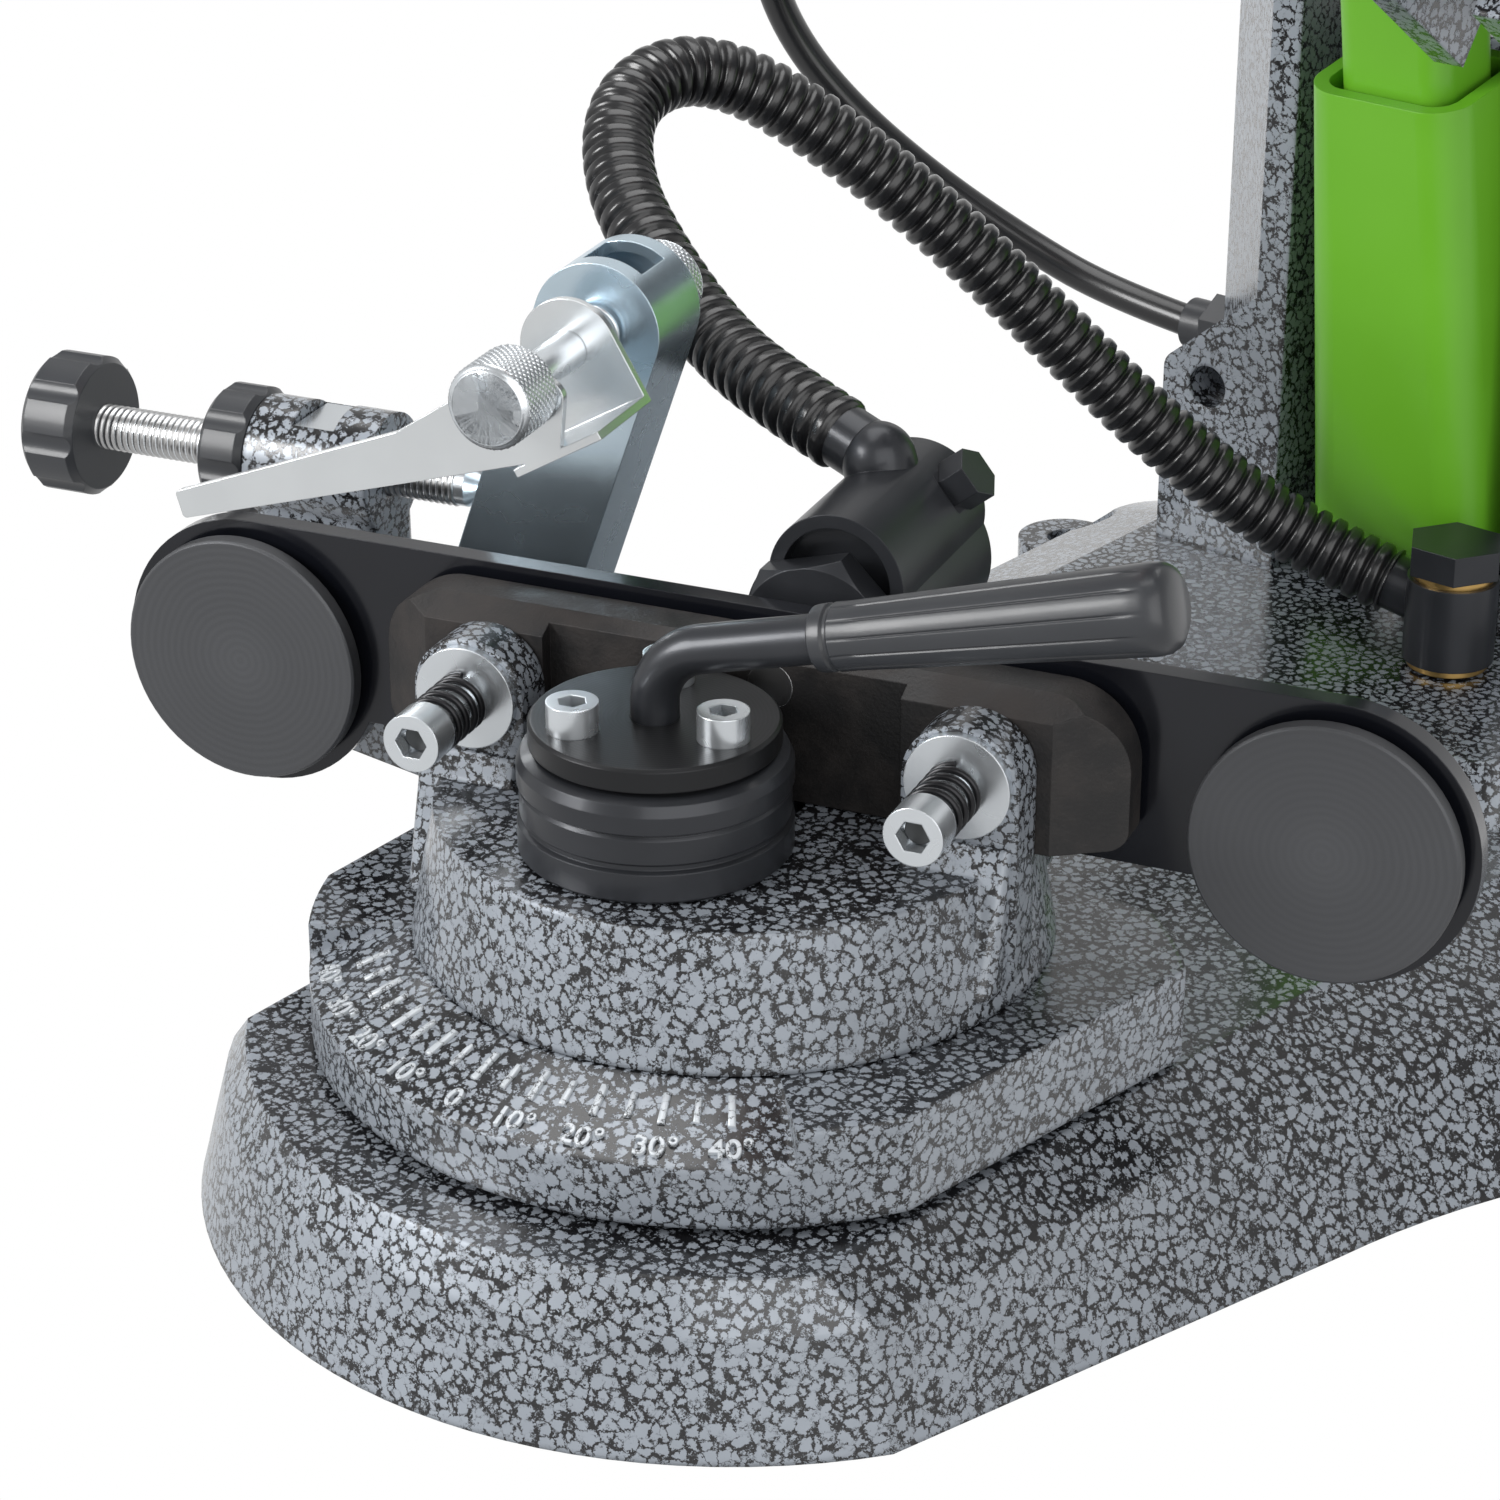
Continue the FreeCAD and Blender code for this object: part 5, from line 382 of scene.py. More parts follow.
class Finish(Enum):
    """Every finish on the part."""
    HAMMERTONE = Hammertone()
    # Painted highlight: the marks use the same hammertone paint made lighter, standing in for the highlights
    # on their raised edges.
    MARKS_PAINTED_HIGHLIGHT = Hammertone("mark_painted_highlight", (0.5, 0.53, 0.56), (0.03, 0.03, 0.032),
                       vein=0.04, top_shade=0.0, specks=0.0, edge=0.25)
    DARK_STEEL = Plain("dark_steel", (0.030, 0.032, 0.037), rough=0.36, metal=0.5, coat=0.15, grain=700.0,
                       relief=0.012, vary=0.3)
    BLUE_BLACK = Plain("blue_black", (0.008, 0.009, 0.013), rough=0.22, metal=0.45, coat=0.4, grain=300.0,
                       relief=0.02, vary=0.3)
    CAST = Cast()
    ZINC = Plain("zinc", (0.72, 0.755, 0.785), rough=0.27, metal=0.9, coat=0.0, grain=500.0, relief=0.012,
                 vary=0.1)
    ARM_ZINC = Plain("arm_zinc", (0.60, 0.72, 0.80), rough=0.27, metal=0.92, coat=0.0, grain=500.0,
                     relief=0.012, vary=0.12)
    PAWL_ZINC = Plain("pawl_zinc", (0.76, 0.785, 0.80), rough=0.22, metal=0.92, coat=0.0, grain=400.0,
                      relief=0.01, vary=0.08)
    # Painted shade: dark paint for the screw socket floors, standing in for the shade down in each socket.
    SOCKET = Plain("socket", (0.055, 0.057, 0.058), rough=0.45, metal=0.6)
    STEEL = Plain("steel", (0.5, 0.5, 0.5), rough=0.3, metal=1.0, coat=0.0, grain=500.0, relief=0.01,
                  vary=0.1)
    SPRING = Plain("spring_steel", (0.02, 0.02, 0.022), rough=0.3, metal=0.7, coat=0.1)
    CHARCOAL = Plain("charcoal", (0.024, 0.026, 0.030), rough=0.38, metal=0.0, coat=0.15, grain=2200.0,
                     relief=0.02, vary=0.12)
    GREEN = Plain("green", (0.135, 0.41, 0.018), rough=0.42, metal=0.0, coat=0.1, grain=1500.0,
                  relief=0.006, vary=0.04)
    RUBBER = Plain("rubber", (0.009, 0.009, 0.01), rough=0.3, metal=0.0, coat=0.25, grain=600.0,
                   relief=0.01, vary=0.2)
    BRASS = Plain("brass", (0.62, 0.4, 0.14), rough=0.3, metal=1.0, coat=0.0)
    MOTOR = Plain("motor_grey", (0.09, 0.095, 0.1), rough=0.4, metal=0.3, coat=0.2)
    ABRASIVE = Plain("abrasive", (0.4, 0.16, 0.12), rough=0.9, metal=0.0, coat=0.0, grain=2500.0,
                     relief=0.25, vary=0.25)
    RED = Plain("red", (0.5, 0.02, 0.02), rough=0.3, metal=0.0, coat=0.3)


class Shop:
    """Builds each material once and paints objects with it."""

    def __init__(self) -> None:
        """Start with no material made."""
        self.made: Dict[str, bpy.types.Material] = {}

    def paint(self, piece: bpy.types.Object, finish: object) -> None:
        """Give a piece one finish.

        Args:
            piece: mesh object.
            finish: member of Finish or a finish of its own.
        """
        recipe = finish.value if isinstance(finish, Finish) else finish
        if recipe.name not in self.made:
            self.made[recipe.name] = recipe.build()
        piece.data.materials.clear()
        piece.data.materials.append(self.made[recipe.name])

    def node(self, name: str, finish: object) -> None:
        """Give a CAD node one finish."""
        self.paint(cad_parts[name], finish)


def link(name: str, mesh: bpy.types.Mesh, smooth: float = 40.0) -> bpy.types.Object:
    """Object of a finished mesh, with its faces outwards and smooth up to an angle.

    Args:
        name: object name.
        mesh: mesh in the part's frame.
        smooth: largest angle in degrees that is shaded as round.

    Returns:
        The linked object.
    """
    made = bmesh.new()
    made.from_mesh(mesh)
    bmesh.ops.recalc_face_normals(made, faces=made.faces)
    for face in made.faces:
        face.smooth = True
    for edge in made.edges:
        edge.smooth = len(edge.link_faces) == 2 and edge.calc_face_angle(0.0) < math.radians(smooth)
    made.to_mesh(mesh)
    made.free()
    piece = bpy.data.objects.new(name, mesh)
    bpy.context.scene.collection.objects.link(piece)
    return piece


def read_curve(curve: bpy.types.Curve) -> bpy.types.Mesh:
    """Mesh of a curve, which is then removed.

    Args:
        curve: curve or text data.

    Returns:
        The mesh.
    """
    carrier = bpy.data.objects.new("carrier", curve)
    bpy.context.scene.collection.objects.link(carrier)
    bpy.context.view_layer.update()
    mesh = bpy.data.meshes.new_from_object(carrier.evaluated_get(bpy.context.evaluated_depsgraph_get()))
    bpy.data.objects.remove(carrier)
    return mesh


def merged(name: str, pieces: Sequence[bpy.types.Object]) -> bpy.types.Object:
    """One object from several that are already in place.

    Args:
        name: object name.
        pieces: mesh objects, which are removed.

    Returns:
        The joined object.
    """
    made = bmesh.new()
    for piece in pieces:
        made.from_mesh(piece.data)
    mesh = bpy.data.meshes.new(name)
    made.to_mesh(mesh)
    made.free()
    for piece in pieces:
        bpy.data.objects.remove(piece)
    return link(name, mesh)


def frame_across(axis: Vector) -> Tuple[Vector, Vector]:
    """Two directions square to an axis.

    Args:
        axis: unit direction.

    Returns:
        The two directions.
    """
    guide = Vector((0, 0, 1)) if abs(axis.z) < 0.9 else Vector((1, 0, 0))
    first = axis.cross(guide).normalized()
    return first, axis.cross(first)


def lathe(name: str, base: Vector, axis: Vector, profile: Sequence[Tuple[float, float]], around: int,
          relief: Optional[Callable[[float, float], float]] = None) -> bpy.types.Object:
    """Turned solid whose radius may carry a relief.

    Args:
        name: object name.
        base: start of the axis, in metres.
        axis: direction of the axis.
        profile: radius and height pairs in millimetres, from the axis back to the axis.
        around: steps round the axis.
        relief: extra radius in millimetres from angle and height, or None.

    Returns:
        The object.
    """
    made = bmesh.new()
    spots = [made.verts.new((radius * MM, 0.0, height * MM)) for radius, height in profile]
    for low, high in zip(spots, spots[1:]):
        made.edges.new((low, high))
    bmesh.ops.spin(made, geom=made.verts[:] + made.edges[:], axis=(0, 0, 1), cent=(0, 0, 0), steps=around,
                   angle=2 * math.pi, use_merge=True)
    bmesh.ops.remove_doubles(made, verts=made.verts, dist=1e-7)
    if relief:
        for vertex in made.verts:
            reach = math.hypot(vertex.co.x, vertex.co.y)
            extra = relief(math.atan2(vertex.co.y, vertex.co.x), vertex.co.z / MM) * MM
            if reach > 0.001 and extra:
                vertex.co.xy *= (reach + extra) / reach
    first, second = frame_across(axis.normalized())
    place = Matrix((first, second, axis.normalized())).transposed().to_4x4()
    place.translation = base
    bmesh.ops.transform(made, matrix=place, verts=made.verts)
    mesh = bpy.data.meshes.new(name)
    made.to_mesh(mesh)
    made.free()
    return link(name, mesh)


def spline_points(route: Sequence[Vector], resolution: int) -> List[Vector]:
    """Points along the smooth curve that has the route as its control points.

    Args:
        route: control points in metres.
        resolution: steps per span.

    Returns:
        The points read from the curve.
    """
    curve = bpy.data.curves.new("route", "CURVE")
    curve.dimensions = "3D"
    spline = curve.splines.new("NURBS")
    spline.points.add(len(route) - 1)
    for spot, place in zip(spline.points, route):
        spot.co = (*place, 1.0)
    spline.order_u = 3
    spline.use_endpoint_u = True
    spline.resolution_u = resolution
    return [vertex.co.copy() for vertex in read_curve(curve).vertices]


def even(points: Sequence[Vector], spacing: float) -> List[Vector]:
    """Points at even spacing along a line of points.

    Args:
        points: the line.
        spacing: wanted spacing in metres.

    Returns:
        The evenly spaced points.
    """
    reach = [0.0]
    for before, after in zip(points, points[1:]):
        reach.append(reach[-1] + (after - before).length)
    count = max(2, round(reach[-1] / spacing))
    found: List[Vector] = []
    index = 0
    for step in range(count + 1):
        target = reach[-1] * step / count
        while index < len(points) - 2 and reach[index + 1] < target:
            index += 1
        span = reach[index + 1] - reach[index]
        share = (target - reach[index]) / span if span else 0.0
        found.append(points[index].lerp(points[index + 1], min(1.0, share)))
    return found


def tube(name: str, points: Sequence[Vector], radius: Callable[[int], float],
         fineness: int) -> bpy.types.Object:
    """Closed tube along points with a radius per point.

    Args:
        name: object name.
        points: centre line in metres.
        radius: radius in millimetres at each point's number.
        fineness: steps per quarter turn.

    Returns:
        The object.
    """
    curve = bpy.data.curves.new(name, "CURVE")
    curve.dimensions = "3D"
    curve.bevel_depth = MM
    curve.bevel_resolution = 2 * fineness - 2
    curve.use_fill_caps = True
    spline = curve.splines.new("POLY")
    spline.points.add(len(points) - 1)
    for index, place in enumerate(points):
        spline.points[index].co = (*place, 1.0)
        spline.points[index].radius = radius(index)
    return link(name, read_curve(curve), 70.0)


@dataclass
class Hose:
    """Corrugated hydraulic hose from the clamp cylinder to the pedestal.

    route: control points in millimetres; pitch: millimetres per rib; rib: height along one rib, from 0 to 1.
    """
    shop: Shop
    crest: float = 6.7
    valley: float = 5.35
    pitch: float = 3.6
    rib: Tuple[float, ...] = (0.0, 0.0, 0.62, 0.93, 1.0, 1.0, 1.0, 1.0, 0.93, 0.62)
    route: Tuple[Point, ...] = (
        (-19.9, 53.5, 113.1), (-33.0, 54.0, 116.6), (-54.3, 60.9, 119.4), (-73.0, 65.5, 129.9),
        (-91.2, 74.6, 139.2), (-102.8, 87.8, 148.8), (-102.9, 102.4, 153.3), (-96.2, 114.9, 150.3),
        (-83.3, 127.2, 138.7), (-67.2, 139.6, 122.4), (-48.8, 151.3, 102.3), (-31.0, 162.4, 82.0),
        (-15.0, 174.0, 66.0), (0.0, 183.0, 56.0), (13.0, 186.0, 52.24))

    def build(self) -> bpy.types.Object:
        """Ribbed tube on the hose's smooth curve.

        Returns:
            The hose.
        """
        line = spline_points([Vector(point) * MM for point in self.route], 40)
        stations = even(line, self.pitch * MM / len(self.rib))

        def swell(index: int) -> float:
            """Radius of the rib at one station."""
            return self.valley + (self.crest - self.valley) * self.rib[index % len(self.rib)]

        piece = tube("hose", stations, swell, 7)
        self.shop.paint(piece, Finish.RUBBER)
        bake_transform(piece)
        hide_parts("hydraulic_hose")
        2 * self.crest * MM
        even(line, 0.003)
        return piece


@dataclass
class Cable:
    """Motor lead looping from the column to the head."""
    shop: Shop
    radius: float = 3.5
    route: Tuple[Point, ...] = (
        (-72.5, 239.0, 73.0), (-94.0, 238.0, 75.5), (-113.0, 232.0, 84.5), (-131.4, 223.0, 97.2),
        (-146.2, 212.5, 112.5), (-155.9, 204.0, 128.4), (-159.6, 198.0, 146.0), (-156.0, 194.0, 166.0),
        (-143.0, 192.0, 184.0), (-123.0, 178.25, 197.0), (-98.0, 177.25, 204.7), (-72.5, 176.75, 203.7))

    def build(self) -> bpy.types.Object:
        """Round lead on its smooth curve.

        Returns:
            The lead.
        """
        line = spline_points([Vector(point) * MM for point in self.route], 30)
        stations = even(line, 0.0025)
        piece = tube("cable", stations, lambda index: self.radius, 5)
        self.shop.paint(piece, Finish.RUBBER)
        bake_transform(piece)
        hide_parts("motor_cable")
        2 * self.radius * MM
        return piece


@dataclass
class Studio:
    """Camera, white surroundings and lamps.

    place: the camera in metres; azimuth, elevation: its direction in degrees; lens: focal length in
    millimetres; floor, ceiling: brightness of the room; backdrop: how much brighter the sweep behind the
    object is; middle: where the lamps point; lamps: place, side in metres and watts of each lamp.
    """
    place: Point = (0.3933, -0.4632, 0.36441)
    azimuth: float = 40.08
    elevation: float = 25.22
    lens: float = 97.34
    floor: float = 0.85
    ceiling: float = 0.38
    backdrop: float = 1.5
    middle: Point = (0.0, 0.05, 0.08)
    lamps: Tuple[Tuple[str, Point, float, float], ...] = (
        ("key", (-0.55, -0.9, 0.6), 0.5, 13.0), ("fill", (0.95, -0.5, 0.55), 1.3, 9.0),
        ("top", (-0.15, 0.25, 1.1), 0.95, 8.0))

    def back(self) -> Vector:
        """Direction from the subject to the camera."""
        around, up = math.radians(self.azimuth), math.radians(self.elevation)
        return Vector((math.sin(around) * math.cos(up), -math.cos(around) * math.cos(up), math.sin(up)))

    def camera(self) -> None:
        """Camera at the photograph's standpoint."""
        data = bpy.data.cameras.new("camera")
        data.sensor_width = 36.0
        data.lens = self.lens
        data.clip_start = 0.01
        eye = bpy.data.objects.new("camera", data)
        eye.location = self.place
        eye.rotation_mode = "QUATERNION"
        eye.rotation_quaternion = (-self.back()).to_track_quat("-Z", "Y")
        bpy.context.scene.collection.objects.link(eye)
        bpy.context.scene.camera = eye

    def lamp(self, name: str, place: Point, aim: Point, size: float, power: float) -> None:
        """Square soft lamp.

        Args:
            name: lamp name.
            place: where it stands, in metres.
            aim: where it points.
            size: side in metres.
            power: watts.
        """
        data = bpy.data.lights.new(name, "AREA")
        data.size = size
        data.energy = power
        lamp = bpy.data.objects.new(name, data)
        lamp.location = place
        lamp.rotation_mode = "QUATERNION"
        lamp.rotation_quaternion = (Vector(aim) - Vector(place)).to_track_quat("-Z", "Y")
        bpy.context.scene.collection.objects.link(lamp)

    def world(self) -> None:
        """White to the camera, and to the surfaces a room with a bright floor and a darker ceiling."""
        world = bpy.data.worlds.new("world")
        bpy.context.scene.world = world
        graph = Graph(world)
        way = graph.node("ShaderNodeTexCoord", {}, "Generated")
        depth, height = (graph.node("ShaderNodeSeparateXYZ", {0: way}, axis) for axis in (1, 2))
        room = graph.node("ShaderNodeMapRange", {0: height, 1: -0.1, 2: 0.85, 3: self.floor, 4: self.ceiling})
        sweep = graph.node("ShaderNodeMapRange", {0: depth, 1: 0.25, 2: 0.8, 3: 1.0, 4: self.backdrop})
        room = graph.node("ShaderNodeBackground", {"Strength": room * sweep})
        seen = graph.node("ShaderNodeBackground", {0: (1, 1, 1, 1)})
        camera = graph.node("ShaderNodeLightPath", {}, "Is Camera Ray")
        both = graph.node("ShaderNodeMixShader", {0: camera, 1: room, 2: seen})
        graph.node("ShaderNodeOutputWorld", {0: both})

    def build(self) -> None:
        """Everything round the object."""
        self.camera()
        self.world()
        for name, place, size, power in self.lamps:
            self.lamp(name, place, self.middle, size, power)
        scene = bpy.context.scene
        scene.view_settings.view_transform = "Standard"
        scene.render.film_transparent = False


@dataclass
class Casting:
    """Painted castings: base, scale plate, column, vise and arm."""
    shop: Shop
    nodes: Tuple[str, ...] = ("base_casting", "scale_plate", "column", "vise_body", "head_arm")

    def dress(self) -> None:
        """Hammertone on every casting."""
        for name in self.nodes:
            self.shop.node(name, Finish.HAMMERTONE)


@dataclass
class AngleScale:
    """Raised ticks and numbers on the plate's bevelled front.

    inner, top, outer, rim: radius and height of the bevel's upper and lower edge, in millimetres; raised:
    height of the marks; step, last: degrees between ticks and at the last one; tick_share, text_share: places
    down the bevel; long_tick, short_tick: half length and half width in millimetres; digit: text size.
    """
    shop: Shop
    inner: float = 54.8
    top: float = 46.9
    outer: float = 71.7
    rim: float = 40.5
    raised: float = 0.6
    step: int = 5
    last: int = 40
    tick_share: float = 0.36
    text_share: float = 0.8
    long_tick: Tuple[float, float] = (3.1, 0.62)
    short_tick: Tuple[float, float] = (2.5, 0.55)
    tick_edge: float = 0.3
    digit: float = 5.2
    digit_edge: float = 0.12

    def slope(self) -> float:
        """Downward angle of the bevel."""
        return math.atan2(self.top - self.rim, self.outer - self.inner)

    def seat(self, angle: float, share: float) -> Matrix:
        """Frame on the bevel: X round the axis, Y up the slope, Z out of the paint.

        Args:
            angle: degrees to the right of the front.
            share: place from the upper edge, 0, to the rim, 1.

        Returns:
            The frame in metres.
        """
        radius = self.inner + share * (self.outer - self.inner)
        height = self.top - share * (self.top - self.rim)
        turn = math.radians(angle)
        out = Vector((math.sin(turn), -math.cos(turn), 0.0))
        right = Vector((math.cos(turn), math.sin(turn), 0.0))
        uphill = -out * math.cos(self.slope()) + Vector((0, 0, 1)) * math.sin(self.slope())
        normal = right.cross(uphill)
        place = Matrix((right, uphill, normal)).transposed().to_4x4()
        place.translation = (out * radius + Vector((0, 0, height))) * MM
        return place

    def tick(self, angle: int, long: bool) -> bpy.types.Object:
        """One raised tick with rounded edges.

        Args:
            angle: degrees to the right of the front.
            long: whether it is a long tick.

        Returns:
            The tick.
        """
        half, width = self.long_tick if long else self.short_tick
        made = bmesh.new()
        bmesh.ops.create_cube(made, size=1.0)
        bmesh.ops.scale(made, vec=(2 * width * MM, 2 * half * MM, 2 * self.raised * MM), verts=made.verts)
        edges = [edge for edge in made.edges if all(vertex.co.z > 0 for vertex in edge.verts)]
        bmesh.ops.bevel(made, geom=edges, offset=self.tick_edge * MM, segments=2, profile=0.5,
                        affect="EDGES", material=-1)
        mesh = bpy.data.meshes.new(f"tick_{angle:+d}")
        made.to_mesh(mesh)
        made.free()
        mesh.transform(self.seat(angle, self.tick_share))
        return link(mesh.name, mesh, 20.0)

    def number(self, angle: int) -> bpy.types.Object:
        """One raised number.

        Args:
            angle: degrees to the right of the front.

        Returns:
            The number.
        """
        text = bpy.data.curves.new(f"number_{angle:+d}", "FONT")
        text.body = f"{abs(angle)}°" if angle else "0"
        text.size = self.digit * MM
        text.extrude = self.raised * MM
        text.bevel_depth = self.digit_edge * MM
        text.align_x = "CENTER"
        text.align_y = "CENTER"
        mesh = read_curve(text)
        mesh.transform(self.seat(angle, self.text_share))
        return link(mesh.name, mesh, 20.0)

    def build(self) -> bpy.types.Object:
        """All ticks and numbers.

        Returns:
            The raised marks as one piece.
        """
        pieces = []
        for angle in range(-self.last, self.last + 1, self.step):
            pieces.append(self.tick(angle, angle % 10 == 0))
            if angle % 10 == 0:
                pieces.append(self.number(angle))
        marks = merged("scale_marks", pieces)
        # The marks get the lighter paint, a painted highlight on their raised edges.
        self.shop.paint(marks, Finish.MARKS_PAINTED_HIGHLIGHT)
        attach(marks, "base")
        return marks


@dataclass
class Spring:
    """Fuller coil in place of a plain one.

    start: first end in metres; axis: direction; length, mean, wire: length, mean radius and wire radius in
    millimetres; turns: number of turns; steps: points per turn; close: how much the end turns close up.
    """
    shop: Shop
    name: str
    start: Vector
    axis: Vector
    length: float
    mean: float
    wire: float
    turns: float
    finish: Finish = Finish.SPRING
    steps: int = 28
    close: float = 0.035

    def build(self) -> bpy.types.Object:
        """Coil with closed, flattened end turns.

        Returns:
            The coil.
        """
        first, second = frame_across(self.axis.normalized())
        count = int(self.turns * self.steps)
        points = []
        for step in range(count + 1):
            share = step / count
            angle = 2 * math.pi * self.turns * share
            eased = share - self.close * math.sin(2 * math.pi * share)
            rise = self.wire + eased * (self.length - 2 * self.wire)
            points.append(self.start + self.axis * (rise * MM)
                          + (first * math.cos(angle) + second * math.sin(angle)) * (self.mean * MM))
        piece = tube(self.name, points, lambda index: self.wire, 3)
        self.shop.paint(piece, self.finish)
        return piece


@dataclass
class ChainVise:
    """Jaw, rail, discs, screws, springs and cam of the swivelling vise.

    Sizes in millimetres. post_u, post_z, head_v: jaw screws and the backs of their heads; spring, coil, wire,
    turns: the springs' length, mean radius, wire radius and turns; disc_u, disc_z: guide discs; drum: cam
    drum; knee_z, lever_rise: the lever's knee and rise in degrees; grip_start to grip_end: the grip's place,
    length and radii; flutes, flute_depth: grooves along it; jaw_floor_v, cam_floor_z, jaw_socket, cam_socket:
    places and radii of the socket floors' painted shade; screw_circle, screw_angle: the cam plate's screws.
    """
    shop: Shop
    post_u: float = 43.6
    post_z: float = 84.8
    head_v: float = -25.3
    spring: float = 13.3
    coil: float = 4.4
    wire: float = 0.62
    turns: float = 4.75
    disc_u: float = 98.3
    disc_z: float = 73.9
    drum: Point = (-4.4, -21.6, 80.0)
    knee_z: float = 103.8
    lever_rise: float = 14.6
    grip_start: float = 29.0
    grip_length: float = 60.0
    grip_neck: float = 5.4
    grip_end: float = 7.2
    flutes: int = 12
    flute_depth: float = 0.28
    jaw_floor_v: float = -28.0
    jaw_socket: float = 2.4
    cam_socket: float = 2.0
    screw_circle: float = 14.0
    screw_angle: float = 225.0
    cam_floor_z: float = 95.05

    def dress(self) -> None:
        """Finishes of the vise's solid pieces."""
        discs = tuple(tuple(vise(sign * self.disc_u, 8.2, self.disc_z)) for sign in (-1, 1))
        self.shop.node("guide_discs", Turned("disc_grey", (0.07, 0.072, 0.077), discs, tuple(VISE_BACK)))
        drum = (tuple(vise(*self.drum)),)
        self.shop.node("cam_plate", Turned("plate_black", (0.018, 0.0185, 0.02), drum, (0, 0, 1), rough=0.36,
                                           metal=0.6, pitch=0.7))
        for name in ("cam_drum", "lever_rod", "slave_cylinder", "gland_nut", "front_ferrule", "banjo_fitting",
                     "banjo_bolt", "bleed_screw", "stop_washer"):
            self.shop.node(name, Finish.DARK_STEEL)
        self.shop.node("rear_rail", Finish.BLUE_BLACK)
        self.shop.node("front_jaw", Finish.CAST)
        for name in ("spring_washers", "jaw_screws", "captive_nut", "disc_nuts", "rail_screws",
                     "swivel_nut", "cam_screws", "stop_pin", "adjuster_screw"):
            self.shop.node(name, Finish.ZINC)
        self.shop.node("stop_arm", Finish.ARM_ZINC)
        self.shop.node("chain_pawl", Finish.PAWL_ZINC)
        self.shop.node("banjo_washers", Finish.BRASS)

    def grip(self) -> bpy.types.Object:
        """Tapered grip with grooves along it and a collar.

        Returns:
            The grip.
        """
        rise = math.radians(self.lever_rise)
        way = (vise(math.cos(rise), 0.0, 0.0) + Vector((0, 0, math.sin(rise) * MM))).normalized()
        start = vise(self.drum[0], self.drum[1], self.knee_z) + way * (self.grip_start * MM)
        neck, end, long = self.grip_neck, self.grip_end, self.grip_length
        profile = [(0.0, 0.0), (neck - 0.7, 0.0), (neck - 0.15, 0.4), (neck, 1.2), (neck + 0.05, 2.6),
                   (neck - 0.35, 3.0), (neck - 0.35, 3.5), (neck + 0.1, 3.9)]
        profile += [(neck + (end - neck) * row / 20, 4.0 + (long - 8.0) * row / 20) for row in range(1, 21)]
        profile += [(end - 0.25, long - 2.0), (end - 1.0, long - 0.8), (end - 2.4, long), (0.0, long)]

        def groove(angle: float, height: float) -> float:
            """Depth of the grooves along the grip."""
            if height < 4.0 or height > long - 5.0:
                return 0.0
            off = abs((angle * self.flutes / (2 * math.pi)) % 1.0 - 0.5)
            return -self.flute_depth if off < 0.06 else 0.0

        piece = lathe("grip", start, way, profile, 144, groove)
        self.shop.paint(piece, Finish.CHARCOAL)
        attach(piece, "cam")
        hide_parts("lever_grip")
        return piece

    def socket(self, name: str, floor: Vector, out: Vector, radius: float) -> bpy.types.Object:
        """Painted shade: a dark disc on the floor of one screw's socket, standing in for the shade down in
        it.

        Args:
            name: object name.
            floor: middle of the socket's floor, in metres.
            out: direction out of the socket.
            radius: radius in millimetres.

        Returns:
            The dark disc of painted shade.
        """
        return lathe(name, floor, out, [(0.0, -0.2), (radius, -0.2), (radius, 0.5), (0.0, 0.5)], 24)

    def socket_shades(self) -> List[bpy.types.Object]:
        """Painted shade: dark discs on the socket floors of the jaw's and the cam plate's screws.

        Returns:
            One piece for each body.
        """
        jaw = [self.socket(f"jaw_socket_{sign:+d}", vise(sign * self.post_u, self.jaw_floor_v, self.post_z),
                           -VISE_BACK, self.jaw_socket) for sign in (-1, 1)]
        cam = []
        for turn in range(3):
            angle = math.radians(self.screw_angle + 120.0 * turn)
            floor = vise(self.drum[0] + self.screw_circle * math.cos(angle),
                         self.drum[1] + self.screw_circle * math.sin(angle), self.cam_floor_z)
            cam.append(self.socket(f"cam_socket_{turn}", floor, Vector((0, 0, 1)), self.cam_socket))
        pieces = []
        for body, floors in (("jaw", jaw), ("cam", cam)):
            piece = merged(f"{body}_sockets", floors)
            # The socket floor discs carry painted shade, where each socket lies in shade.
            self.shop.paint(piece, Finish.SOCKET)
            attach(piece, body)
            pieces.append(piece)
        return pieces

    def springs(self) -> bpy.types.Object:
        """Both jaw springs as one piece.

        Returns:
            The springs.
        """
        coils = []
        for sign in (-1, 1):
            start = vise(sign * self.post_u, self.head_v, self.post_z)
            coils.append(Spring(self.shop, f"spring_{sign:+d}", start, VISE_BACK, self.spring, self.coil,
                                self.wire, self.turns).build())
        piece = merged("jaw_coils", coils)
        self.shop.paint(piece, Finish.SPRING)
        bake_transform(piece)
        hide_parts("jaw_springs")
        return piece


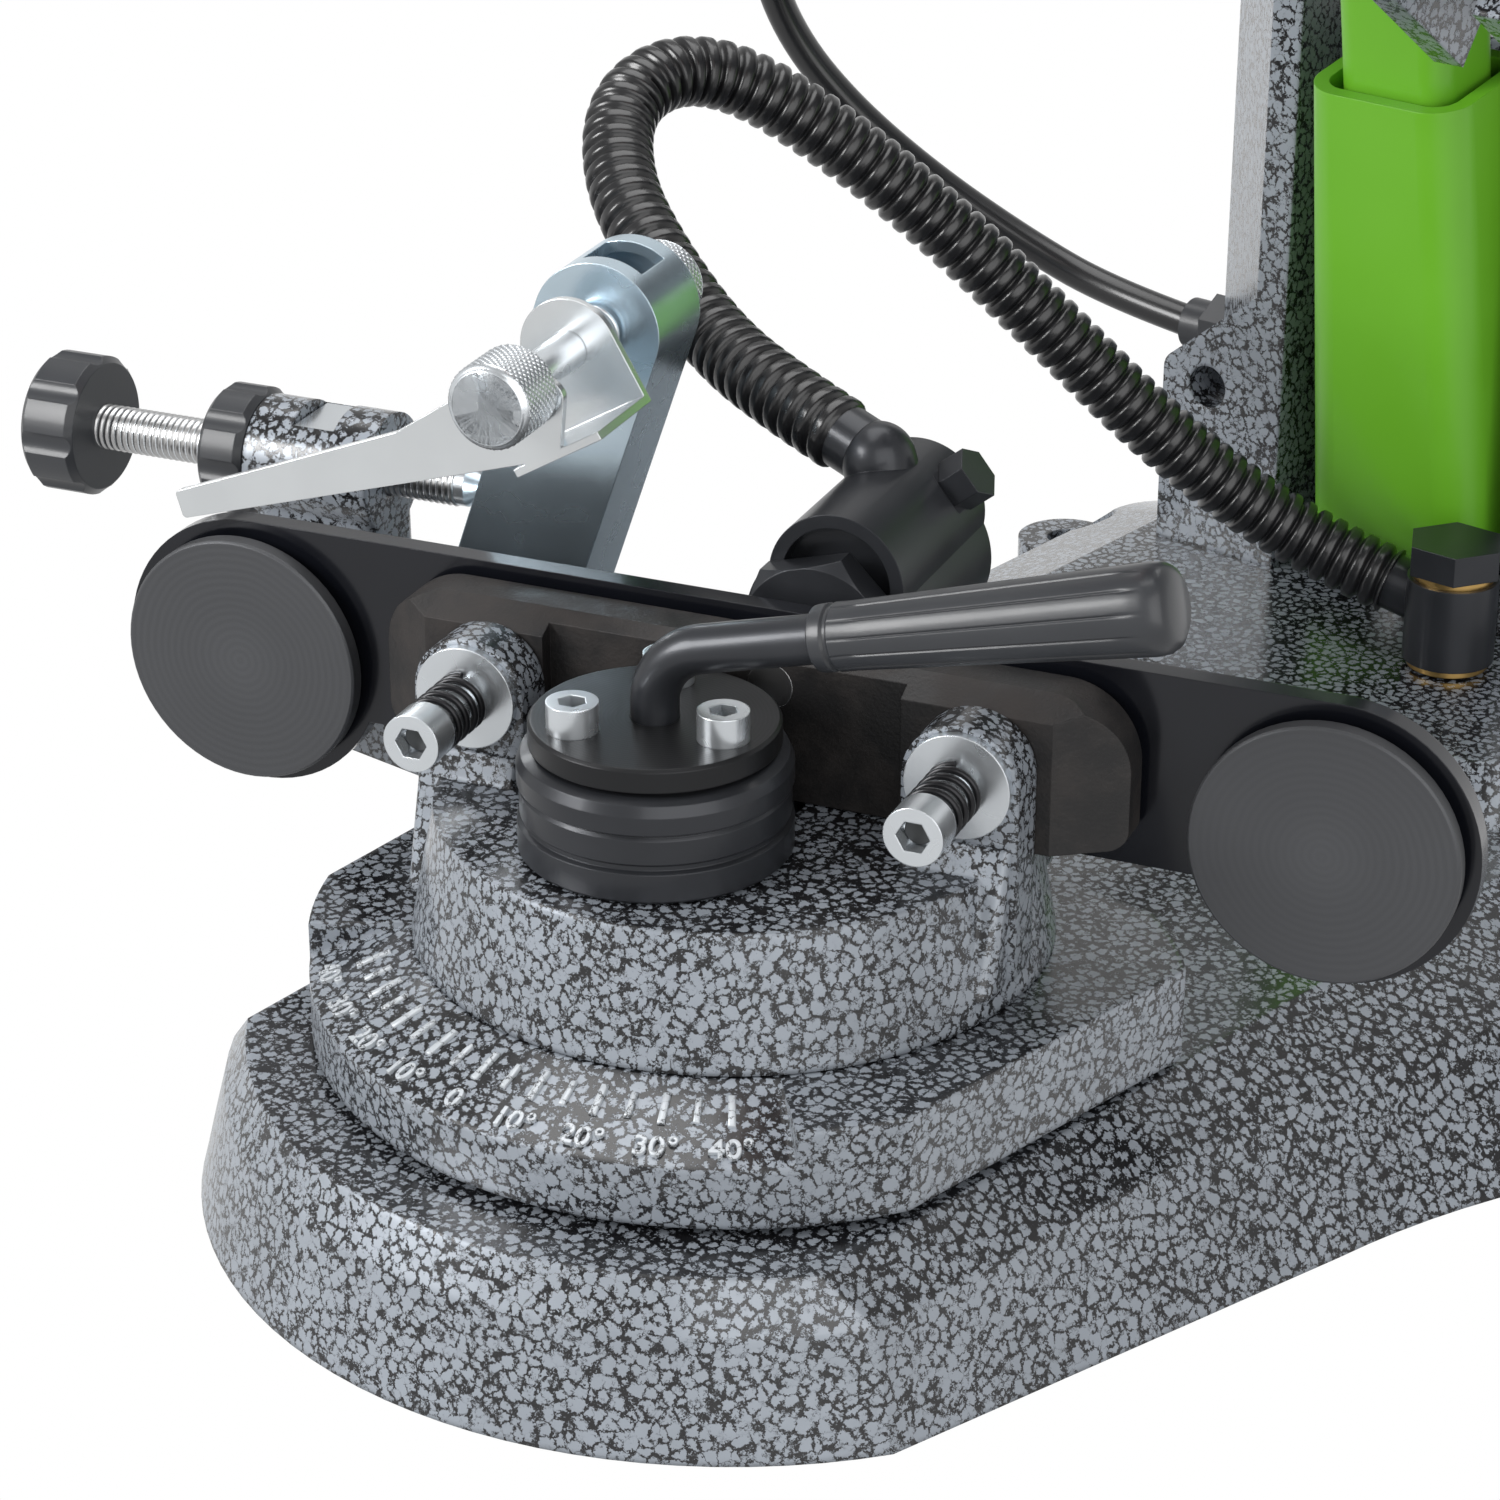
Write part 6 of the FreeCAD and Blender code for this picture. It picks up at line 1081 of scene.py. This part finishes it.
@dataclass
class ChainStop:
    """Knurled knobs, threads and spring of the chain stop and its adjuster.

    Sizes in millimetres. shaft_u, shaft_z: the stop's shaft; knob_v, nut_v: front ends of the knob and the
    nut; rod, pitch: the adjuster rod's radius and thread pitch; rod_v, rod_z: its axis; tail_u, middle_u:
    left ends of its two threads; knurls: ridges round a knob.
    """
    shop: Shop
    shaft_u: float = -42.0
    shaft_z: float = 133.5
    knob_v: float = -4.0
    nut_v: float = 59.7
    rod: float = 4.0
    pitch: float = 1.25
    rod_v: float = 46.5
    rod_z: float = 97.5
    tail_u: float = -147.2
    middle_u: float = -87.0
    knurls: int = 18

    def knurl(self, name: str, body: str, start: Vector, radius: float, length: float) -> bpy.types.Object:
        """Knob rim with a cross knurl, over the plain solid.

        Args:
            name: object name.
            body: body that it rides on.
            start: front end in metres.
            radius: outer radius in millimetres.
            length: length in millimetres.

        Returns:
            The knob.
        """
        around = 144
        rows = int(length * 6)
        low, high = 1.0, length - 1.0

        def ridge(angle: float, height: float) -> float:
            """Depth of the crossed grooves."""
            if height <= low or height >= high:
                return 0.0
            lead = height / radius
            left = abs(math.sin(self.knurls * (angle + lead)))
            right = abs(math.sin(self.knurls * (angle - lead)))
            return -0.22 + 0.3 * min(left, right)

        profile = [(0.0, 0.0), (radius - 1.2, 0.0), (radius - 0.25, 0.75)]
        profile += [(radius, low + (high - low) * row / rows) for row in range(rows + 1)]
        profile += [(radius - 0.25, length - 0.75), (radius - 1.2, length), (0.0, length)]
        piece = lathe(name, start, VISE_BACK, profile, around, ridge)
        self.shop.paint(piece, Finish.ZINC)
        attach(piece, body)
        return piece

    def thread(self, name: str, start: Vector, length: float, plain: float = 0.0) -> bpy.types.Object:
        """Thread over the plain adjuster rod.

        Args:
            name: object name.
            start: first end in metres.
            length: length in millimetres.
            plain: length of the far end that slides into the lock knob and is left plain, in millimetres.

        Returns:
            The thread.
        """
        rows = int(length / self.pitch * 8)

        def ridge(angle: float, height: float) -> float:
            """Height of the helical ridge."""
            phase = (height / self.pitch + angle / (2 * math.pi)) % 1.0
            left = max(0.0, min(1.0, (length - plain - height) / self.pitch)) if plain else 1.0
            return 0.34 * abs(2 * phase - 1) * left - 0.05

        profile = [(self.rod, length * row / rows) for row in range(rows + 1)]
        piece = lathe(name, start, VISE_ALONG, [(0.0, 0.0), *profile, (0.0, length)], 28, ridge)
        self.shop.paint(piece, Finish.STEEL)
        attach(piece, "adjuster")
        return piece

    def build(self) -> List[bpy.types.Object]:
        """Every piece of the stop that needs more than its solid.

        Returns:
            The pieces.
        """
        shaft = vise(self.shaft_u, self.knob_v, self.shaft_z)
        nut = vise(self.shaft_u, self.nut_v, self.shaft_z)
        pieces = [self.knurl("knob_knurl", "stop_shaft", shaft, 7.5, 12.0),
                  self.knurl("nut_knurl", "shaft_nut", nut, 7.7, 7.5)]
        tail, middle = (vise(along, self.rod_v, self.rod_z) for along in (self.tail_u, self.middle_u))
        pieces.append(self.thread("adjuster_thread_left", tail, 25.8, 2.6))
        pieces.append(self.thread("adjuster_thread_right", middle, 14.0))
        self.shop.node("stop_knob", Finish.ZINC)
        self.shop.node("thumb_nut", Finish.ZINC)
        self.shop.node("adjuster_knob", Finish.CHARCOAL)
        self.shop.node("lock_knob", Finish.CHARCOAL)
        start = vise(self.shaft_u, 28.8, self.shaft_z)
        coil = Spring(self.shop, "pawl_coil", start, VISE_BACK, length=8.9, mean=4.6, wire=0.5, turns=4.25,
                      finish=Finish.ZINC).build()
        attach(coil, "stop")
        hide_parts("pawl_spring")
        pieces.append(coil)
        return pieces


@dataclass
class Strut:
    """Green covers and the hidden parts of the strut.

    foot: lower end of the strut's axis; lean: degrees that it leans forward; seat: the spring's height on the
    axis; length, coil, wire, turns: the spring's size in millimetres and its turns.
    """
    shop: Shop
    foot: Point = (2.0, 220.5, 38.0)
    lean: float = 10.0
    seat: float = 20.3
    length: float = 109.0
    coil: float = 6.8
    wire: float = 0.9
    turns: float = 12.25

    def dress(self) -> None:
        """Finishes of the strut."""
        for name in ("outer_cover", "inner_cover"):
            self.shop.node(name, Finish.GREEN)
        for name in ("master_cylinder", "push_rod", "hinge_pin", "column_screws", "swivel_stud", "cam_pin",
                     "jaw_piston"):
            self.shop.node(name, Finish.STEEL)
        self.shop.node("column_gland", Finish.CHARCOAL)

    def build(self) -> bpy.types.Object:
        """Return spring inside the covers.

        Returns:
            The spring.
        """
        lean = math.radians(self.lean)
        up = Vector((0.0, -math.sin(lean), math.cos(lean)))
        start = Vector(self.foot) * MM + up * (self.seat * MM)
        coil = Spring(self.shop, "return_coil", start, up, self.length, self.coil, self.wire,
                      self.turns).build()
        tuple(start + up * (self.length * MM))
        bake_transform(coil)
        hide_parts("return_spring")
        return coil


@dataclass
class Head:
    """Motor, guard, wheel, handle and switch."""
    shop: Shop

    def dress(self) -> None:
        """Finishes of the head."""
        groups = {Finish.MOTOR: ("motor_housing", "wheel_guard"), Finish.RED: ("switch_rocker",),
                  Finish.CHARCOAL: ("motor_cap", "handle_grip", "switch_box"),
                  Finish.ABRASIVE: ("grinding_wheel",),
                  Finish.STEEL: ("handle_bar", "wheel_spindle", "wheel_flange")}
        for finish, names in groups.items():
            for name in names:
                self.shop.node(name, finish)


def main() -> None:
    """Build every class in order and report the pieces."""
    logging.basicConfig(level=logging.INFO)
    shop = Shop()
    Studio().build()
    LOG.info("piece %s", Hose(shop).build().name)
    LOG.info("piece %s", Cable(shop).build().name)
    Casting(shop).dress()
    LOG.info("piece %s", AngleScale(shop).build().name)
    chain_vise = ChainVise(shop)
    chain_vise.dress()
    LOG.info("piece %s", chain_vise.springs().name)
    LOG.info("piece %s", chain_vise.grip().name)
    for piece in chain_vise.socket_shades() + ChainStop(shop).build():
        LOG.info("piece %s", piece.name)
    strut = Strut(shop)
    strut.dress()
    LOG.info("piece %s", strut.build().name)
    Head(shop).dress()


if __name__ == "__main__":
    main()
